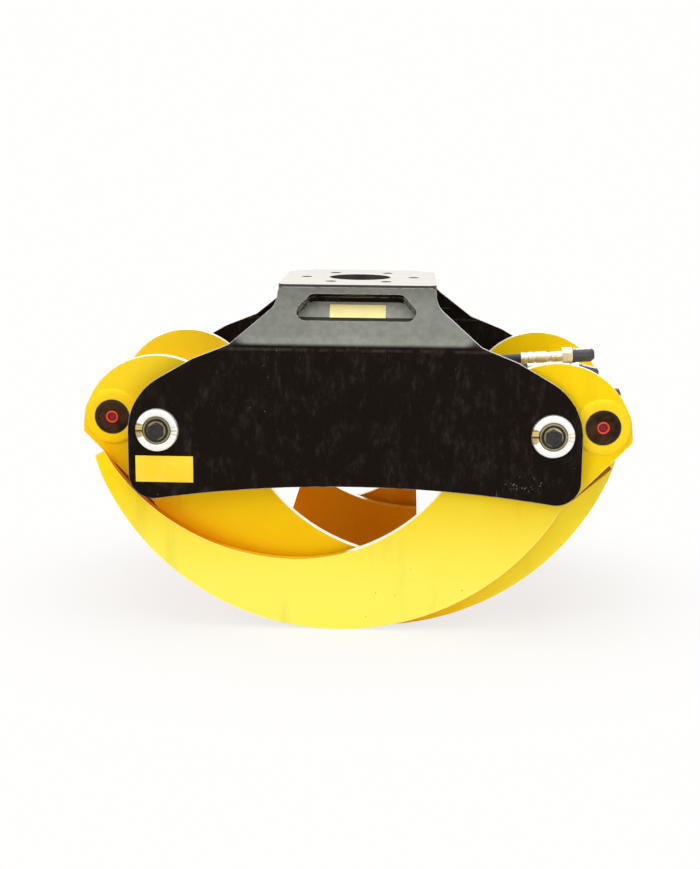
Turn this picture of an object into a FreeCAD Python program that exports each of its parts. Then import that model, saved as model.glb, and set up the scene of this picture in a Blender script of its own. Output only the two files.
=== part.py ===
"""Log grapple: a bent-plate hood, two crossing claws, one cylinder lying across and two hoses."""
import FreeCAD, Part
import math
import os
from FreeCAD import Placement, Rotation, Vector

doc = FreeCAD.newDocument("LogGrapple")

# Driving dimensions in millimetres and degrees

SIZES = (
    ("PivotHeight", 318, "claw pivots above the ground"),
    ("PivotHalfSpan", 300, "claw pivot to the middle plane"),
    ("CheekHalfDepth", 204, "outer face of a cheek to the middle plane"),
    ("CheekThick", 8, "hood sheet"),
    ("CheekMargin", 45, "side of a cheek beyond the pivot"),
    ("CheekDrop", 108, "lower corners of a cheek below the pivots"),
    ("CheekArch", 24, "rise of the arched lower edge"),
    ("CheekCornerRadius", 38, "lower corners of a cheek"),
    ("CheekEarRadius", 98, "rounding of a cheek round the pivot"),
    ("ShoulderDrop", 22, "corner of the shoulder below the bend line"),
    ("ShoulderSlope", 30, "fall of the shoulder towards the pivot, in degrees"),
    ("ShoulderRound", 40, "rounding at the corner of the shoulder"),
    ("BendRise", 132, "bend line above the pivots"),
    ("BendHalfWidth", 190, "half width of the sheet at the bend"),
    ("BendRadius", 18, "outer radius of the bend"),
    ("BendSideRound", 20, "rounding of the sheet's side at the bend"),
    ("FlangeRise", 217, "top of the flange above the pivots"),
    ("FlangeThick", 15, "thickness of the rotator flange"),
    ("FlangeHalfDepth", 132, "front edge of the flange to the middle plane"),
    ("FlangeHalfWidth", 122, "side of the flange to the middle plane"),
    ("FlangeCorner", 38, "cut of the flange's rear corners"),
    ("FlangeFrontRound", 14, "rounding of the flange's front corners"),
    ("FlangeLip", 4, "flange edge left free above the sheet"),
    ("NeckHalfWidth", 122, "half width of the sheet under the flange"),
    ("NeckDrop", 24.5, "inward corner of the neck below the top of the sheet"),
    ("NeckRound", 31, "hollow rounding of the neck's side"),
    ("NeckCorner", 8, "rounded upper corner of the sheet"),
    ("BoltCircleRadius", 86.5, "bolt circle of the rotator"),
    ("BoltHoleRadius", 8.75, "bolt holes of the rotator"),
    ("CentreBoreRadius", 49.5, "centre bore of the flange"),
    ("SlotTopHalf", 71, "half length of the slot along its top"),
    ("SlotMiddleHalf", 95, "half length of the slot at its widest"),
    ("SlotBottomHalf", 83, "half length of the slot along its bottom"),
    ("SlotHalfHeight", 25, "half height of the slot, along the slope"),
    ("SlotCornerRadius", 12, "upper and lower corners of the slot"),
    ("SlotSideRadius", 16, "side corners of the slot"),
    ("SlotClear", 0.6, "tray of the slot below the underside of the flange"),
    ("SlotDepth", 21, "slot floor under the sheet's outer face"),
    ("TrayWall", 4, "wall and floor of the tray behind the slot"),
    ("WebHalfDepth", 85, "inner face of a web to the middle plane"),
    ("WebThick", 10, "thickness of an inner web"),
    ("WebEyeRadius", 38, "eye of a web round the pivot"),
    ("WebTopRise", 15, "upper edge of a web above the pivots"),
    ("RibOffset", 110, "rib to the middle plane"),
    ("RibThick", 10, "thickness of a rib between web and cheek"),
    ("RibTopRise", 110, "upper end of a rib at the cheek"),
    ("StubPinRadius", 25, "pivot pin in its bushes"),
    ("StubTipRadius", 20, "small end of the pin's taper"),
    ("StubTaper", 12, "length of the pin's taper"),
    ("StubSpigotRadius", 20, "inner end of the pin, in the web"),
    ("SleeveRadius", 32.5, "expanding sleeve in the cheek"),
    ("SleeveProud", 7, "sleeve out of the cheek"),
    ("SleeveSlit", 3, "width of the slits in the sleeve"),
    ("SleeveRound", 3, "rounded rim of the sleeve"),
    ("WasherRadius", 21, "outside of the tension washer"),
    ("WasherThick", 5, "thickness of the tension washer"),
    ("PivotBoltRadius", 8, "pivot bolt shank"),
    ("PivotBoltFlange", 15, "radius of the pivot bolt's flange"),
    ("PivotBoltFlangeThick", 3, "thickness of the pivot bolt's flange"),
    ("PivotBoltAcross", 24, "pivot bolt across flats"),
    ("PivotBoltHead", 12, "height of the pivot bolt head"),
    ("PivotBoltLength", 40, "pivot bolt shank length"),
    ("RightClawGap", 9, "wide claw behind the inner face of a cheek"),
    ("LeftClawGap", 34, "narrow claw behind the inner face of a cheek"),
    ("ClawThick", 14, "thickness of a claw plate"),
    ("OuterRadius", 396, "back of a claw"),
    ("BackReach", 70, "back of a claw out from the pivot"),
    ("OuterCentreRise", 78, "centre of the back, above the pivot"),
    ("TipAngle", 161.5, "tip on the back, clockwise from the outward side"),
    ("BackEndAngle", 30.3, "start of the back, clockwise from the outward side"),
    ("HubEndWidth", 111, "radius of the back less that of the inner edge near the hub"),
    ("TipEndWidth", 51, "radius of the back less that of the inner edge near the tip"),
    ("InnerCentreShift", 66, "centre of the inner edge, in from that of the back"),
    ("InnerCentreRise", 80, "centre of the near inner edge, above the pivot"),
    ("InnerTipAngle", 148.6, "tip on the inner edge, clockwise"),
    ("InnerHubAngle", 31.9, "hub end of the inner edge, clockwise"),
    ("LobeRadius", 116, "round ear of a claw"),
    ("LobeSide", 6, "ear centre, out from the pivot"),
    ("LobeDrop", 8, "ear centre, below the pivot"),
    ("LobeEndAngle", 2, "lower end of the ear, clockwise"),
    ("LobeHubAngle", 160, "inner end of the ear"),
    ("TipBevelLength", 28, "bevel of a tip along the plate"),
    ("TipBevelDepth", 6, "bevel of a tip into the plate"),
    ("HubRadius", 40, "hub tube between plate and web"),
    ("HubNoseRadius", 35, "hub tube through the plate"),
    ("BushWall", 5, "wall of a hub bush"),
    ("HubGap", 1.5, "hub to cheek and web"),
    ("SkinThick", 8, "thickness of the skin plate near the hub"),
    ("SkinTopAngle", 26.7, "hub end of the skin on the inner edge"),
    ("SkinEndAngle", 48.4, "lower end of the skin on the inner edge"),
    ("EarPinSide", 76, "cylinder pin out from the pivot"),
    ("EarPinRise", 12, "cylinder pin above the pivot"),
    ("EarPinRadius", 25, "cylinder pin in its bushes"),
    ("EarPinRound", 1.5, "rounded ends of the cylinder pin"),
    ("EarPinProud", 1.5, "cylinder pin out of its collar"),
    ("EarCollarRadius", 41, "collar round the cylinder pin on the outer face"),
    ("EarCollarThick", 5, "height of that collar"),
    ("EarTubeRadius", 35, "tube between plate and cylinder eye"),
    ("PlugRadius", 10, "outside of the plug in the pin's end"),
    ("PlugDepth", 9, "plug into the pin's end"),
    ("PlugRim", 1.2, "plug out of the pin's end"),
    ("PlugSocketRadius", 5.5, "socket of the plug"),
    ("EyeRadius", 38, "outside of the cylinder's eyes"),
    ("EyeHalfDepth", 35, "side of an eye to the middle plane"),
    ("EyeBushWall", 4, "wall of the bushes in the eyes"),
    ("EyeGap", 1, "cylinder eye to ear tube"),
    ("NeckHalfHeight", 24, "neck between eye and cap"),
    ("BaseReach", 46, "cap face to the base pin"),
    ("CapThick", 20, "thickness of the base cap"),
    ("CapRound", 2, "rounded rim of the base cap"),
    ("BarrelRadius", 45, "outside of the barrel"),
    ("BarrelBore", 37.5, "inside of the barrel"),
    ("BarrelToRodPin", 322, "gland end of the barrel to the rod pin"),
    ("GlandFlange", 32, "gland outside the barrel"),
    ("GlandRound", 3, "rounded rim of the gland"),
    ("GlandSpigot", 25, "gland inside the barrel"),
    ("GlandSlot", 6, "spanner slots of the gland"),
    ("WiperRadius", 30, "outside of the wiper ring"),
    ("WiperThick", 5, "width of the wiper ring"),
    ("WiperRound", 2, "rounded rim of the wiper ring"),
    ("RodRadius", 22.5, "piston rod"),
    ("PistonInBarrel", 35, "piston behind the gland end of the barrel"),
    ("PistonThick", 40, "width of the piston"),
    ("PistonRound", 2, "rounded rims of the piston and its nut"),
    ("PistonNutRadius", 22, "radius of the nut behind the piston"),
    ("PistonNutThick", 18, "width of the nut behind the piston"),
    ("RodReach", 36, "rod eye shoulder to the rod pin"),
    ("BlockToBarrelEnd", 9, "port block to the gland end of the barrel"),
    ("BlockLength", 40, "port block along the barrel"),
    ("BlockHalfDepth", 38, "port block across the barrel"),
    ("BlockTop", 92, "port block above the barrel's axis"),
    ("HoseRadius", 7.5, "outside of a hose"),
    ("FerruleLength", 42, "length of the crimped ferrule"),
    ("FerruleRadius", 9.5, "radius of the crimped ferrule"),
    ("FerruleGroove", 1, "depth of the crimped grooves and rounds"),
    ("NippleLength", 24, "nipple between ferrule and nut"),
    ("NippleRadius", 8.4, "radius of that nipple"),
    ("NippleBend", 8, "end of the nipple that follows the nut"),
    ("LowerEndTilt", 14, "nut and cap of the lower hose below level, in degrees"),
    ("NutAcross", 24, "hose nut across flats"),
    ("NutLength", 17, "length of the hose nut"),
    ("HoseCapRadius", 11, "radius of the protective cap"),
    ("HoseCapLength", 35, "length of the protective cap"),
    ("HoseCapChamfer", 4, "bevelled end of the protective cap"),
    ("GreaseCapRadius", 7.5, "cap over the grease nipple"),
    ("GreaseCapLength", 8, "grease cap out of the base eye"),
    ("GreaseCapRound", 2, "rounded end of the grease cap"),
    ("GreaseCapAngle", 22, "grease cap above level, in degrees"),
    ("RunClearance", 0.08, "running fits, radial"),
    ("SeatClearance", 0.1, "pressed and welded fits, radial"),
)

sheet = doc.addObject("Spreadsheet::Sheet", "Sizes")
for row, (alias, number, meaning) in enumerate(SIZES, start=1):
    sheet.set(f"A{row}", meaning)
    sheet.set(f"B{row}", str(number))
    sheet.setAlias(f"B{row}", alias)
doc.recompute()

NODES = []


def size(alias):
    """Read one driving dimension."""
    return float(sheet.get(alias))


def cell(alias):
    """Name one driving dimension inside an expression."""
    return f"Sizes.{alias}"


def bind(owner, **expressions):
    """Tie properties of an object to expressions over the sheet."""
    for name, expression in expressions.items():
        owner.setExpression(name.replace("__", "."), expression)


def seat(piece, side="0", depth="0", rise="0"):
    """Place a piece by three expressions."""
    bind(piece, Placement__Base__x=side, Placement__Base__y=depth, Placement__Base__z=rise)


# Outlines

def ring(side, rise, radius):
    """Circle in a sketch."""
    return Part.Circle(Vector(side, rise, 0), Vector(0, 0, 1), radius)


def on_circle(centre, radius, degrees):
    """Point of a circle, the angle counted from the outward side."""
    turn = math.radians(degrees)
    return Vector(centre.x + radius * math.cos(turn), centre.y + radius * math.sin(turn), 0)


def rounded(corners):
    """Closed outline from corners given as (side, rise, radius)."""
    points = [Vector(side, rise, 0) for side, rise, _ in corners]
    starts, ends, middles = [], [], []
    for index, (_, _, radius) in enumerate(corners):
        here = points[index]
        back = (points[index - 1] - here).normalize()
        ahead = (points[(index + 1) % len(points)] - here).normalize()
        half = back.getAngle(ahead) / 2
        reach = radius / math.tan(half)
        starts.append(here + back * reach)
        ends.append(here + ahead * reach)
        middles.append(here + (back + ahead).normalize() * radius * (1 / math.sin(half) - 1))
    outline = []
    for index, (_, _, radius) in enumerate(corners):
        if radius > 0:
            outline.append(Part.Arc(starts[index], middles[index], ends[index]))
        following = starts[(index + 1) % len(points)]
        if (following - ends[index]).Length > 1e-6:
            outline.append(Part.LineSegment(ends[index], following))
    return outline


def box_outline(left, right, low, high):
    """Rectangle in a sketch."""
    return rounded([(left, low, 0), (right, low, 0), (right, high, 0), (left, high, 0)])


def hexagon(across):
    """Six corners of a nut or bolt head."""
    reach = across / math.sqrt(3)
    centre = Vector(0, 0, 0)
    return rounded([(*on_circle(centre, reach, 60 * step)[:2], 0) for step in range(6)])


# Bodies, sketches and features

def new_body(label):
    """Body with its own label, kept as a node."""
    body = doc.addObject("PartDesign::Body", label)
    body.Label = label
    NODES.append(body)
    return body


def new_sketch(body, role, geometry, offset=Placement()):
    """Sketch on one of the body's own origin planes."""
    sketch = body.newObject("Sketcher::SketchObject", "Sketch")
    plane = next(item for item in body.Origin.OriginFeatures if item.Role == role)
    sketch.AttachmentSupport = [(plane, "")]
    sketch.MapMode = "FlatFace"
    sketch.AttachmentOffset = offset
    sketch.addGeometry(geometry, False)
    return sketch


def pad(body, sketch, length, both_ways=False, backwards=False):
    """Pad whose length is an expression."""
    feature = body.newObject("PartDesign::Pad", "Pad")
    feature.Profile = sketch
    feature.Midplane = both_ways
    feature.Reversed = backwards
    bind(feature, Length=length)
    return feature


def pocket_through(body, sketch):
    """Pocket through the whole body, both ways."""
    feature = body.newObject("PartDesign::Pocket", "Pocket")
    feature.Profile = sketch
    feature.Type = "ThroughAll"
    feature.Midplane = True
    return feature


def pocket_deep(body, sketch, depth, backwards=False):
    """Pocket whose depth is an expression."""
    feature = body.newObject("PartDesign::Pocket", "Pocket")
    feature.Profile = sketch
    feature.Reversed = backwards
    bind(feature, Length=depth)
    return feature


def turned(body, corners, axis="H_Axis", role="XZ_Plane", offset=Placement()):
    """Revolution of a section about an axis of its own sketch."""
    sketch = new_sketch(body, role, rounded(corners), offset)
    feature = body.newObject("PartDesign::Revolution", "Revolution")
    feature.Profile = sketch
    feature.ReferenceAxis = (sketch, [axis])
    feature.Angle = 360
    return feature


def dress(body, kind, base, edges, **amounts):
    """Fillet or chamfer on chosen edges of a feature."""
    doc.recompute()
    feature = body.newObject(f"PartDesign::{kind}", kind)
    names = [f"Edge{index + 1}" for index, edge in enumerate(base.Shape.Edges) if edges(edge)]
    feature.Base = (base, names)
    bind(feature, **amounts)
    return feature


def joined(label, tools):
    """Several equal pieces kept as one node."""
    group = doc.addObject("Part::Compound", label)
    group.Label = label
    group.Links = tools
    for tool in tools:
        NODES.remove(tool)
    NODES.append(group)
    return group


# Heights and depths that several pieces share

PIVOT_RISE = cell("PivotHeight")
EAR_RISE = f"{cell('PivotHeight')} + {cell('EarPinRise')}"
EAR_SIDE = f"{cell('PivotHalfSpan')} + {cell('EarPinSide')}"
SHEET_TOP = size("FlangeRise") - size("FlangeLip")
CHEEK_HALF_WIDTH = size("PivotHalfSpan") + size("CheekMargin")
SLOPE_RUN = size("CheekHalfDepth") - size("FlangeHalfDepth")
SLOPE_RISE = SHEET_TOP - size("BendRise")
SLOPE_LEAN = math.degrees(math.atan2(SLOPE_RUN, SLOPE_RISE))
CHEEK_INNER = size("CheekHalfDepth") - size("CheekThick")
WEB_OUTER = size("WebHalfDepth") + size("WebThick")


# Frame

def cheek_section(front):
    """Bent sheet seen from the side: upright cheek, bend and slope up to the flange."""
    outer = size("CheekHalfDepth")
    thick = size("CheekThick")
    low = -size("CheekDrop")
    bend = size("BendRise")
    lean = math.radians(SLOPE_LEAN)
    inner_bend = bend - thick * math.tan(lean / 2)
    inner_top = SHEET_TOP - thick / math.sin(lean)
    corners = [
        (outer, low, 0),
        (outer, bend, size("BendRadius")),
        (size("FlangeHalfDepth"), SHEET_TOP, 0),
        (size("FlangeHalfDepth"), inner_top, 0),
        (outer - thick, inner_bend, size("BendRadius") - thick),
        (outer - thick, low, 0),
    ]
    return rounded([(front * depth, rise, radius) for depth, rise, radius in corners])


def cheek_face():
    """Front outline of the hood: arched foot, rounded pivot ears and narrowing neck."""
    foot = -size("CheekDrop")
    shoulder = (size("PivotHalfSpan") + size("BendHalfWidth")) / 2
    shoulder_rise = size("BendRise") - size("ShoulderDrop")
    ear_rise = shoulder_rise - (CHEEK_HALF_WIDTH - shoulder) * math.tan(math.radians(size("ShoulderSlope")))
    right = [
        (CHEEK_HALF_WIDTH, foot, size("CheekCornerRadius")),
        (CHEEK_HALF_WIDTH, ear_rise, size("CheekEarRadius")),
        (shoulder, shoulder_rise, size("ShoulderRound")),
        (size("BendHalfWidth"), size("BendRise"), size("BendSideRound")),
        (size("NeckHalfWidth"), SHEET_TOP - size("NeckDrop"), size("NeckRound")),
        (size("NeckHalfWidth"), SHEET_TOP, size("NeckCorner")),
    ]
    left = [(-side, rise, radius) for side, rise, radius in reversed(right)]
    outline = rounded(right + left)
    flat = next(line for line in outline if isinstance(line, Part.LineSegment)
                and abs(line.StartPoint.y - foot) < 1e-6 and abs(line.EndPoint.y - foot) < 1e-6)
    outline.remove(flat)
    outline.append(Part.Arc(flat.StartPoint, Vector(0, foot + size("CheekArch"), 0), flat.EndPoint))
    return outline


def slot_outline(grow):
    """Six-sided slot with rounded corners, seen square to the slope."""
    high = size("SlotHalfHeight")
    right = [
        (size("SlotBottomHalf") + grow, -high - grow, size("SlotCornerRadius") + grow),
        (size("SlotMiddleHalf") + grow, -high / 3, size("SlotSideRadius") + grow),
        (size("SlotTopHalf") + grow, high + grow, size("SlotCornerRadius") + grow),
    ]
    left = [(-side, rise, radius) for side, rise, radius in reversed(right)]
    return rounded(right + left)


def slope_middle():
    """Middle of the slot on the outer face of the slope, as depth and rise."""
    lean = math.radians(SLOPE_LEAN)
    inner_limit = size("FlangeRise") - size("FlangeThick") - size("SlotClear")
    tray_top = (inner_limit + size("CheekThick") * math.sin(lean) - size("BendRise")) / math.cos(lean)
    middle = tray_top - size("TrayWall") - size("SlotHalfHeight")
    return size("CheekHalfDepth") - middle * math.sin(lean), size("BendRise") + middle * math.cos(lean)


def make_cheek(label, front):
    """One bent sheet of the hood; front is -1 at the front and 1 at the rear."""
    body = new_body(label)
    width = f"2 * ({cell('PivotHalfSpan')} + {cell('CheekMargin')})"
    pad(body, new_sketch(body, "YZ_Plane", cheek_section(front)), width, both_ways=True)
    reach = 2 * CHEEK_HALF_WIDTH
    waste = box_outline(-reach, reach, -reach, reach) + cheek_face()
    pocket_through(body, new_sketch(body, "XZ_Plane", waste))
    holes = [ring(side * size("PivotHalfSpan"), 0, size("SleeveRadius") + size("SeatClearance")) for side in (-1, 1)]
    pocket_through(body, new_sketch(body, "XZ_Plane", holes))
    depth, rise = slope_middle()
    tilt = Placement(Vector(0, rise, -front * depth), Rotation(Vector(1, 0, 0), front * SLOPE_LEAN))
    slot = new_sketch(body, "XZ_Plane", slot_outline(0), tilt)
    cut = body.newObject("PartDesign::Pocket", "Slot")
    cut.Profile = slot
    cut.Midplane = True
    bind(cut, Length=f"4 * {cell('CheekThick')}")
    seat(body, rise=PIVOT_RISE)


def make_tray(label, front):
    """Tray welded behind the slot, with a floor that lies along the slope."""
    body = new_body(label)
    deep = f"({cell('SlotDepth')} - {cell('CheekThick')})"
    pad(body, new_sketch(body, "XY_Plane", slot_outline(size("TrayWall"))),
        f"{deep} + {cell('TrayWall')}", backwards=True)
    pocket_deep(body, new_sketch(body, "XY_Plane", slot_outline(0)), deep)
    depth, rise = slope_middle()
    lean = math.radians(SLOPE_LEAN)
    inward = size("CheekThick") * math.cos(lean), size("CheekThick") * math.sin(lean)
    turn = Rotation(Vector(0, 0, 1), 0 if front < 0 else 180) * Rotation(Vector(1, 0, 0), 90 - SLOPE_LEAN)
    where = Vector(0, front * (depth - inward[0]), size("PivotHeight") + rise - inward[1])
    body.Placement = Placement(where, turn)


def make_flange():
    """Bare steel flange with six bolt holes on one circle and a wide centre bore."""
    body = new_body("rotator_flange")
    wide, deep, corner = size("FlangeHalfWidth"), size("FlangeHalfDepth"), size("FlangeCorner")
    right = [(wide, -deep, size("FlangeFrontRound")), (wide, deep - corner, corner / 2),
             (wide - corner, deep, corner / 2)]
    left = [(-side, depth, radius) for side, depth, radius in reversed(right)]
    outline = rounded(right + left) + [ring(0, 0, size("CentreBoreRadius"))]
    pad(body, new_sketch(body, "XY_Plane", outline), cell("FlangeThick"), backwards=True)
    hole = ring(size("BoltCircleRadius"), 0, size("BoltHoleRadius"))
    first = pocket_through(body, new_sketch(body, "XY_Plane", [hole]))
    pattern = body.newObject("PartDesign::PolarPattern", "BoltCircle")
    pattern.Originals = [first]
    pattern.Axis = (next(item for item in body.Origin.OriginFeatures if item.Role == "Z_Axis"), [""])
    pattern.Occurrences = 6
    body.Tip = pattern
    seat(body, rise=f"{cell('PivotHeight')} + {cell('FlangeRise')}")


def make_web(label, front):
    """Inner web that carries the inner ends of the pivot pins."""
    body = new_body(label)
    span, eye, top = size("PivotHalfSpan"), size("WebEyeRadius"), size("WebTopRise")
    join = math.sqrt(eye ** 2 - top ** 2)
    outline = [
        Part.LineSegment(Vector(-span, -eye, 0), Vector(span, -eye, 0)),
        Part.Arc(Vector(span, -eye, 0), Vector(span + eye, 0, 0), Vector(span - join, top, 0)),
        Part.LineSegment(Vector(span - join, top, 0), Vector(join - span, top, 0)),
        Part.Arc(Vector(join - span, top, 0), Vector(-span - eye, 0, 0), Vector(-span, -eye, 0)),
    ]
    bores = [ring(side * span, 0, size("StubSpigotRadius") + size("SeatClearance")) for side in (-1, 1)]
    pad(body, new_sketch(body, "XZ_Plane", outline + bores), cell("WebThick"))
    outer = f"({cell('WebHalfDepth')} + {cell('WebThick')})"
    seat(body, depth=f"-{cell('WebHalfDepth')}" if front < 0 else outer, rise=PIVOT_RISE)


def make_ribs(label, front):
    """Two tapered ribs between a web and its cheek."""
    ribs = []
    low = -size("WebEyeRadius")
    for side in (-1, 1):
        body = new_body(f"{label}_{'left' if side < 0 else 'right'}")
        outline = rounded([
            (front * WEB_OUTER, low, 0),
            (front * CHEEK_INNER, low, 0),
            (front * CHEEK_INNER, size("RibTopRise"), 0),
            (front * (CHEEK_INNER - size("RibThick")), size("RibTopRise"), 0),
            (front * WEB_OUTER, size("WebTopRise"), 0),
        ])
        pad(body, new_sketch(body, "YZ_Plane", outline), cell("RibThick"), both_ways=True)
        seat(body, side=f"{side} * {cell('RibOffset')}", rise=PIVOT_RISE)
        ribs.append(body)
    joined(label, ribs)


# Pivots

def make_stub_pin(label, side, front):
    """Pivot pin: tapered outer end in the sleeve, spigot in the web, tapped for its bolt."""
    body = new_body(label)
    face = size("CheekHalfDepth") + size("SleeveProud") - size("WasherThick")
    tapped = size("PivotBoltRadius") + size("SeatClearance")
    deep = face - size("PivotBoltLength")
    corners = [
        (tapped, face), (size("StubTipRadius"), face), (size("StubPinRadius"), face - size("StubTaper")),
        (size("StubPinRadius"), WEB_OUTER), (size("StubSpigotRadius"), WEB_OUTER),
        (size("StubSpigotRadius"), size("WebHalfDepth")), (0, size("WebHalfDepth")), (0, deep), (tapped, deep),
    ]
    turned(body, [(radius, front * depth, 0) for radius, depth in corners], "V_Axis", "XY_Plane")
    seat(body, side=f"{side} * {cell('PivotHalfSpan')}", rise=PIVOT_RISE)


def make_sleeve(label, side, front):
    """Slotted sleeve that the pin's taper spreads in the cheek, with a seat for the washer."""
    body = new_body(label)
    face = size("CheekHalfDepth") + size("SleeveProud")
    ledge = face - size("WasherThick")
    play = size("SeatClearance")
    radius = size("SleeveRadius")
    taper_end = max(ledge - size("StubTaper"), CHEEK_INNER)
    spread = (size("StubPinRadius") - size("StubTipRadius")) * (ledge - taper_end) / size("StubTaper")
    corners = [
        (radius, CHEEK_INNER, 0), (radius, face, size("SleeveRound")), (size("WasherRadius") + play, face, 0),
        (size("WasherRadius") + play, ledge, 0), (size("StubTipRadius") + play, ledge, 0),
        (size("StubTipRadius") + spread + play, taper_end, 0),
    ]
    if taper_end > CHEEK_INNER:
        corners.append((size("StubTipRadius") + spread + play, CHEEK_INNER, 0))
    turned(body, [(wide, front * depth, round_) for wide, depth, round_ in corners], "V_Axis", "XY_Plane")
    slit = size("SleeveSlit") / 2
    cut = new_sketch(body, "XZ_Plane", box_outline(-2 * radius, 2 * radius, -slit, slit),
                     Placement(Vector(0, 0, -front * face), Rotation()))
    pocket_deep(body, cut, f"{cell('SleeveProud')} + {cell('CheekThick')} / 2", backwards=front > 0)
    seat(body, side=f"{side} * {cell('PivotHalfSpan')}", rise=PIVOT_RISE)


def make_washer(label, side, front):
    """Thick washer that draws the sleeve onto the taper."""
    body = new_body(label)
    hole = size("PivotBoltRadius") + size("RunClearance")
    pad(body, new_sketch(body, "XZ_Plane", [ring(0, 0, size("WasherRadius")), ring(0, 0, hole)]), cell("WasherThick"))
    face = f"({cell('CheekHalfDepth')} + {cell('SleeveProud')})"
    seat(body, side=f"{side} * {cell('PivotHalfSpan')}", rise=PIVOT_RISE,
         depth=f"-{face} + {cell('WasherThick')}" if front < 0 else face)
    return body


def make_pivot_bolt(label, side, front):
    """Flanged hexagon bolt in the end of a pivot pin."""
    body = new_body(label)
    plane = "XZ_Plane"
    outward = front > 0
    pad(body, new_sketch(body, plane, hexagon(size("PivotBoltAcross"))), cell("PivotBoltHead"), backwards=outward)
    pad(body, new_sketch(body, plane, [ring(0, 0, size("PivotBoltFlange"))]),
        cell("PivotBoltFlangeThick"), backwards=outward)
    pad(body, new_sketch(body, plane, [ring(0, 0, size("PivotBoltRadius"))]),
        cell("PivotBoltLength"), backwards=not outward)
    seat(body, side=f"{side} * {cell('PivotHalfSpan')}", rise=PIVOT_RISE,
         depth=f"{front} * ({cell('CheekHalfDepth')} + {cell('SleeveProud')})")
    return body


# Claws

INNER_NEAR_RADIUS = size("OuterRadius") - size("HubEndWidth")
INNER_FAR_RADIUS = size("OuterRadius") - size("TipEndWidth")


def claw_depth(gap):
    """Outer face of a claw to the middle plane."""
    return CHEEK_INNER - size(gap)


def claw_depth_cell(gap):
    """The same as an expression over the sheet."""
    return f"({cell('CheekHalfDepth')} - {cell('CheekThick')} - {cell(gap)})"


def claw_points(side):
    """Centres of the claw's arcs, measured from the pivot."""
    back = Vector(size("BackReach") - size("OuterRadius"), size("OuterCentreRise"), 0)
    near = Vector(back.x - size("InnerCentreShift"), size("InnerCentreRise"), 0)
    far = near + Vector(0, INNER_FAR_RADIUS - INNER_NEAR_RADIUS, 0)
    lobe = Vector(size("LobeSide"), -size("LobeDrop"), 0)
    return [Vector(side * centre.x, centre.y, 0) for centre in (back, near, far, lobe)]


def arc_between(centre, radius, start, end, side):
    """Arc of a claw from one angle to another, counted from the outward side."""
    marks = []
    for degrees in (start, (start + end) / 2, end):
        turn = math.radians(degrees)
        marks.append(Vector(centre.x + side * radius * math.cos(turn), centre.y + radius * math.sin(turn), 0))
    return Part.Arc(*marks)


def claw_outline(side):
    """Claw plate: round back, thinner towards the tip, straight heel and round ear."""
    back, near, far, lobe = claw_points(side)
    arcs = [
        arc_between(back, size("OuterRadius"), -size("BackEndAngle"), -size("TipAngle"), side),
        arc_between(far, INNER_FAR_RADIUS, -size("InnerTipAngle"), -90, side),
        arc_between(near, INNER_NEAR_RADIUS, -90, -size("InnerHubAngle"), side),
        arc_between(lobe, size("LobeRadius"), size("LobeHubAngle"), -size("LobeEndAngle"), side),
    ]
    outline = []
    for index, arc in enumerate(arcs):
        following = arcs[(index + 1) % len(arcs)]
        outline.append(arc)
        if (following.StartPoint - arc.EndPoint).Length > 1e-4:
            outline.append(Part.LineSegment(arc.EndPoint, following.StartPoint))
    return outline


def cut_tip_bevel(body, side, front):
    """Bevel the outer face of a claw plate towards its tip."""
    end = claw_outline(side)[1]
    across = (end.EndPoint - end.StartPoint).normalize()
    along = Vector(across.y, -across.x, 0)
    if along.y > 0:
        along = -along
    normal = Vector(0, 0, 1)
    middle = (end.StartPoint + end.EndPoint) / 2
    corner = middle + normal * (size("ClawThick") if front < 0 else 0)
    length, deep = size("TipBevelLength"), size("TipBevelDepth")
    points = [(length, 0), (-length / 5, -1.2 * deep), (-length / 5, deep), (length, deep)]
    section = rounded([(reach, -front * height, 0) for reach, height in points])
    frame = Placement(corner, Rotation(along, normal, along.cross(normal), "XYZ"))
    pocket = body.newObject("PartDesign::Pocket", "TipBevel")
    pocket.Profile = new_sketch(body, "XZ_Plane", section, frame)
    pocket.Midplane = True
    bind(pocket, Length=f"8 * {cell('ClawThick')}")


def make_claw_plate(label, side, front, gap):
    """One plate of a claw, with a collar round the cylinder pin and a bevelled tip."""
    body = new_body(label)
    thick = cell("ClawThick")
    plate = new_sketch(body, "XZ_Plane", claw_outline(side))
    pad(body, plate, thick)
    ear = side * size("EarPinSide"), size("EarPinRise")
    collar = new_sketch(body, "XZ_Plane", [ring(*ear, size("EarCollarRadius"))])
    if front < 0:
        raised = pad(body, collar, f"{thick} + {cell('EarCollarThick')}")
    else:
        raised = pad(body, collar, cell("EarCollarThick"), backwards=True)
    rim_depth = -size("ClawThick") - size("EarCollarThick") if front < 0 else size("EarCollarThick")
    dress(body, "Chamfer", raised,
                lambda edge: isinstance(edge.Curve, Part.Circle)
                and abs(edge.Curve.Radius - size("EarCollarRadius")) < 1e-3
                and abs(edge.CenterOfMass.y - rim_depth) < 1e-3,
                Size=f"{cell('EarCollarThick')} / 2")
    holes = [
        ring(0, 0, size("HubNoseRadius") + size("SeatClearance")),
        ring(*ear, size("EarPinRadius") + size("SeatClearance")),
    ]
    pocket_through(body, new_sketch(body, "XZ_Plane", holes))
    cut_tip_bevel(body, side, front)
    seat(body, side=f"{side} * {cell('PivotHalfSpan')}", rise=PIVOT_RISE,
         depth=f"{thick} - {claw_depth_cell(gap)}" if front < 0 else claw_depth_cell(gap))


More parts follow.
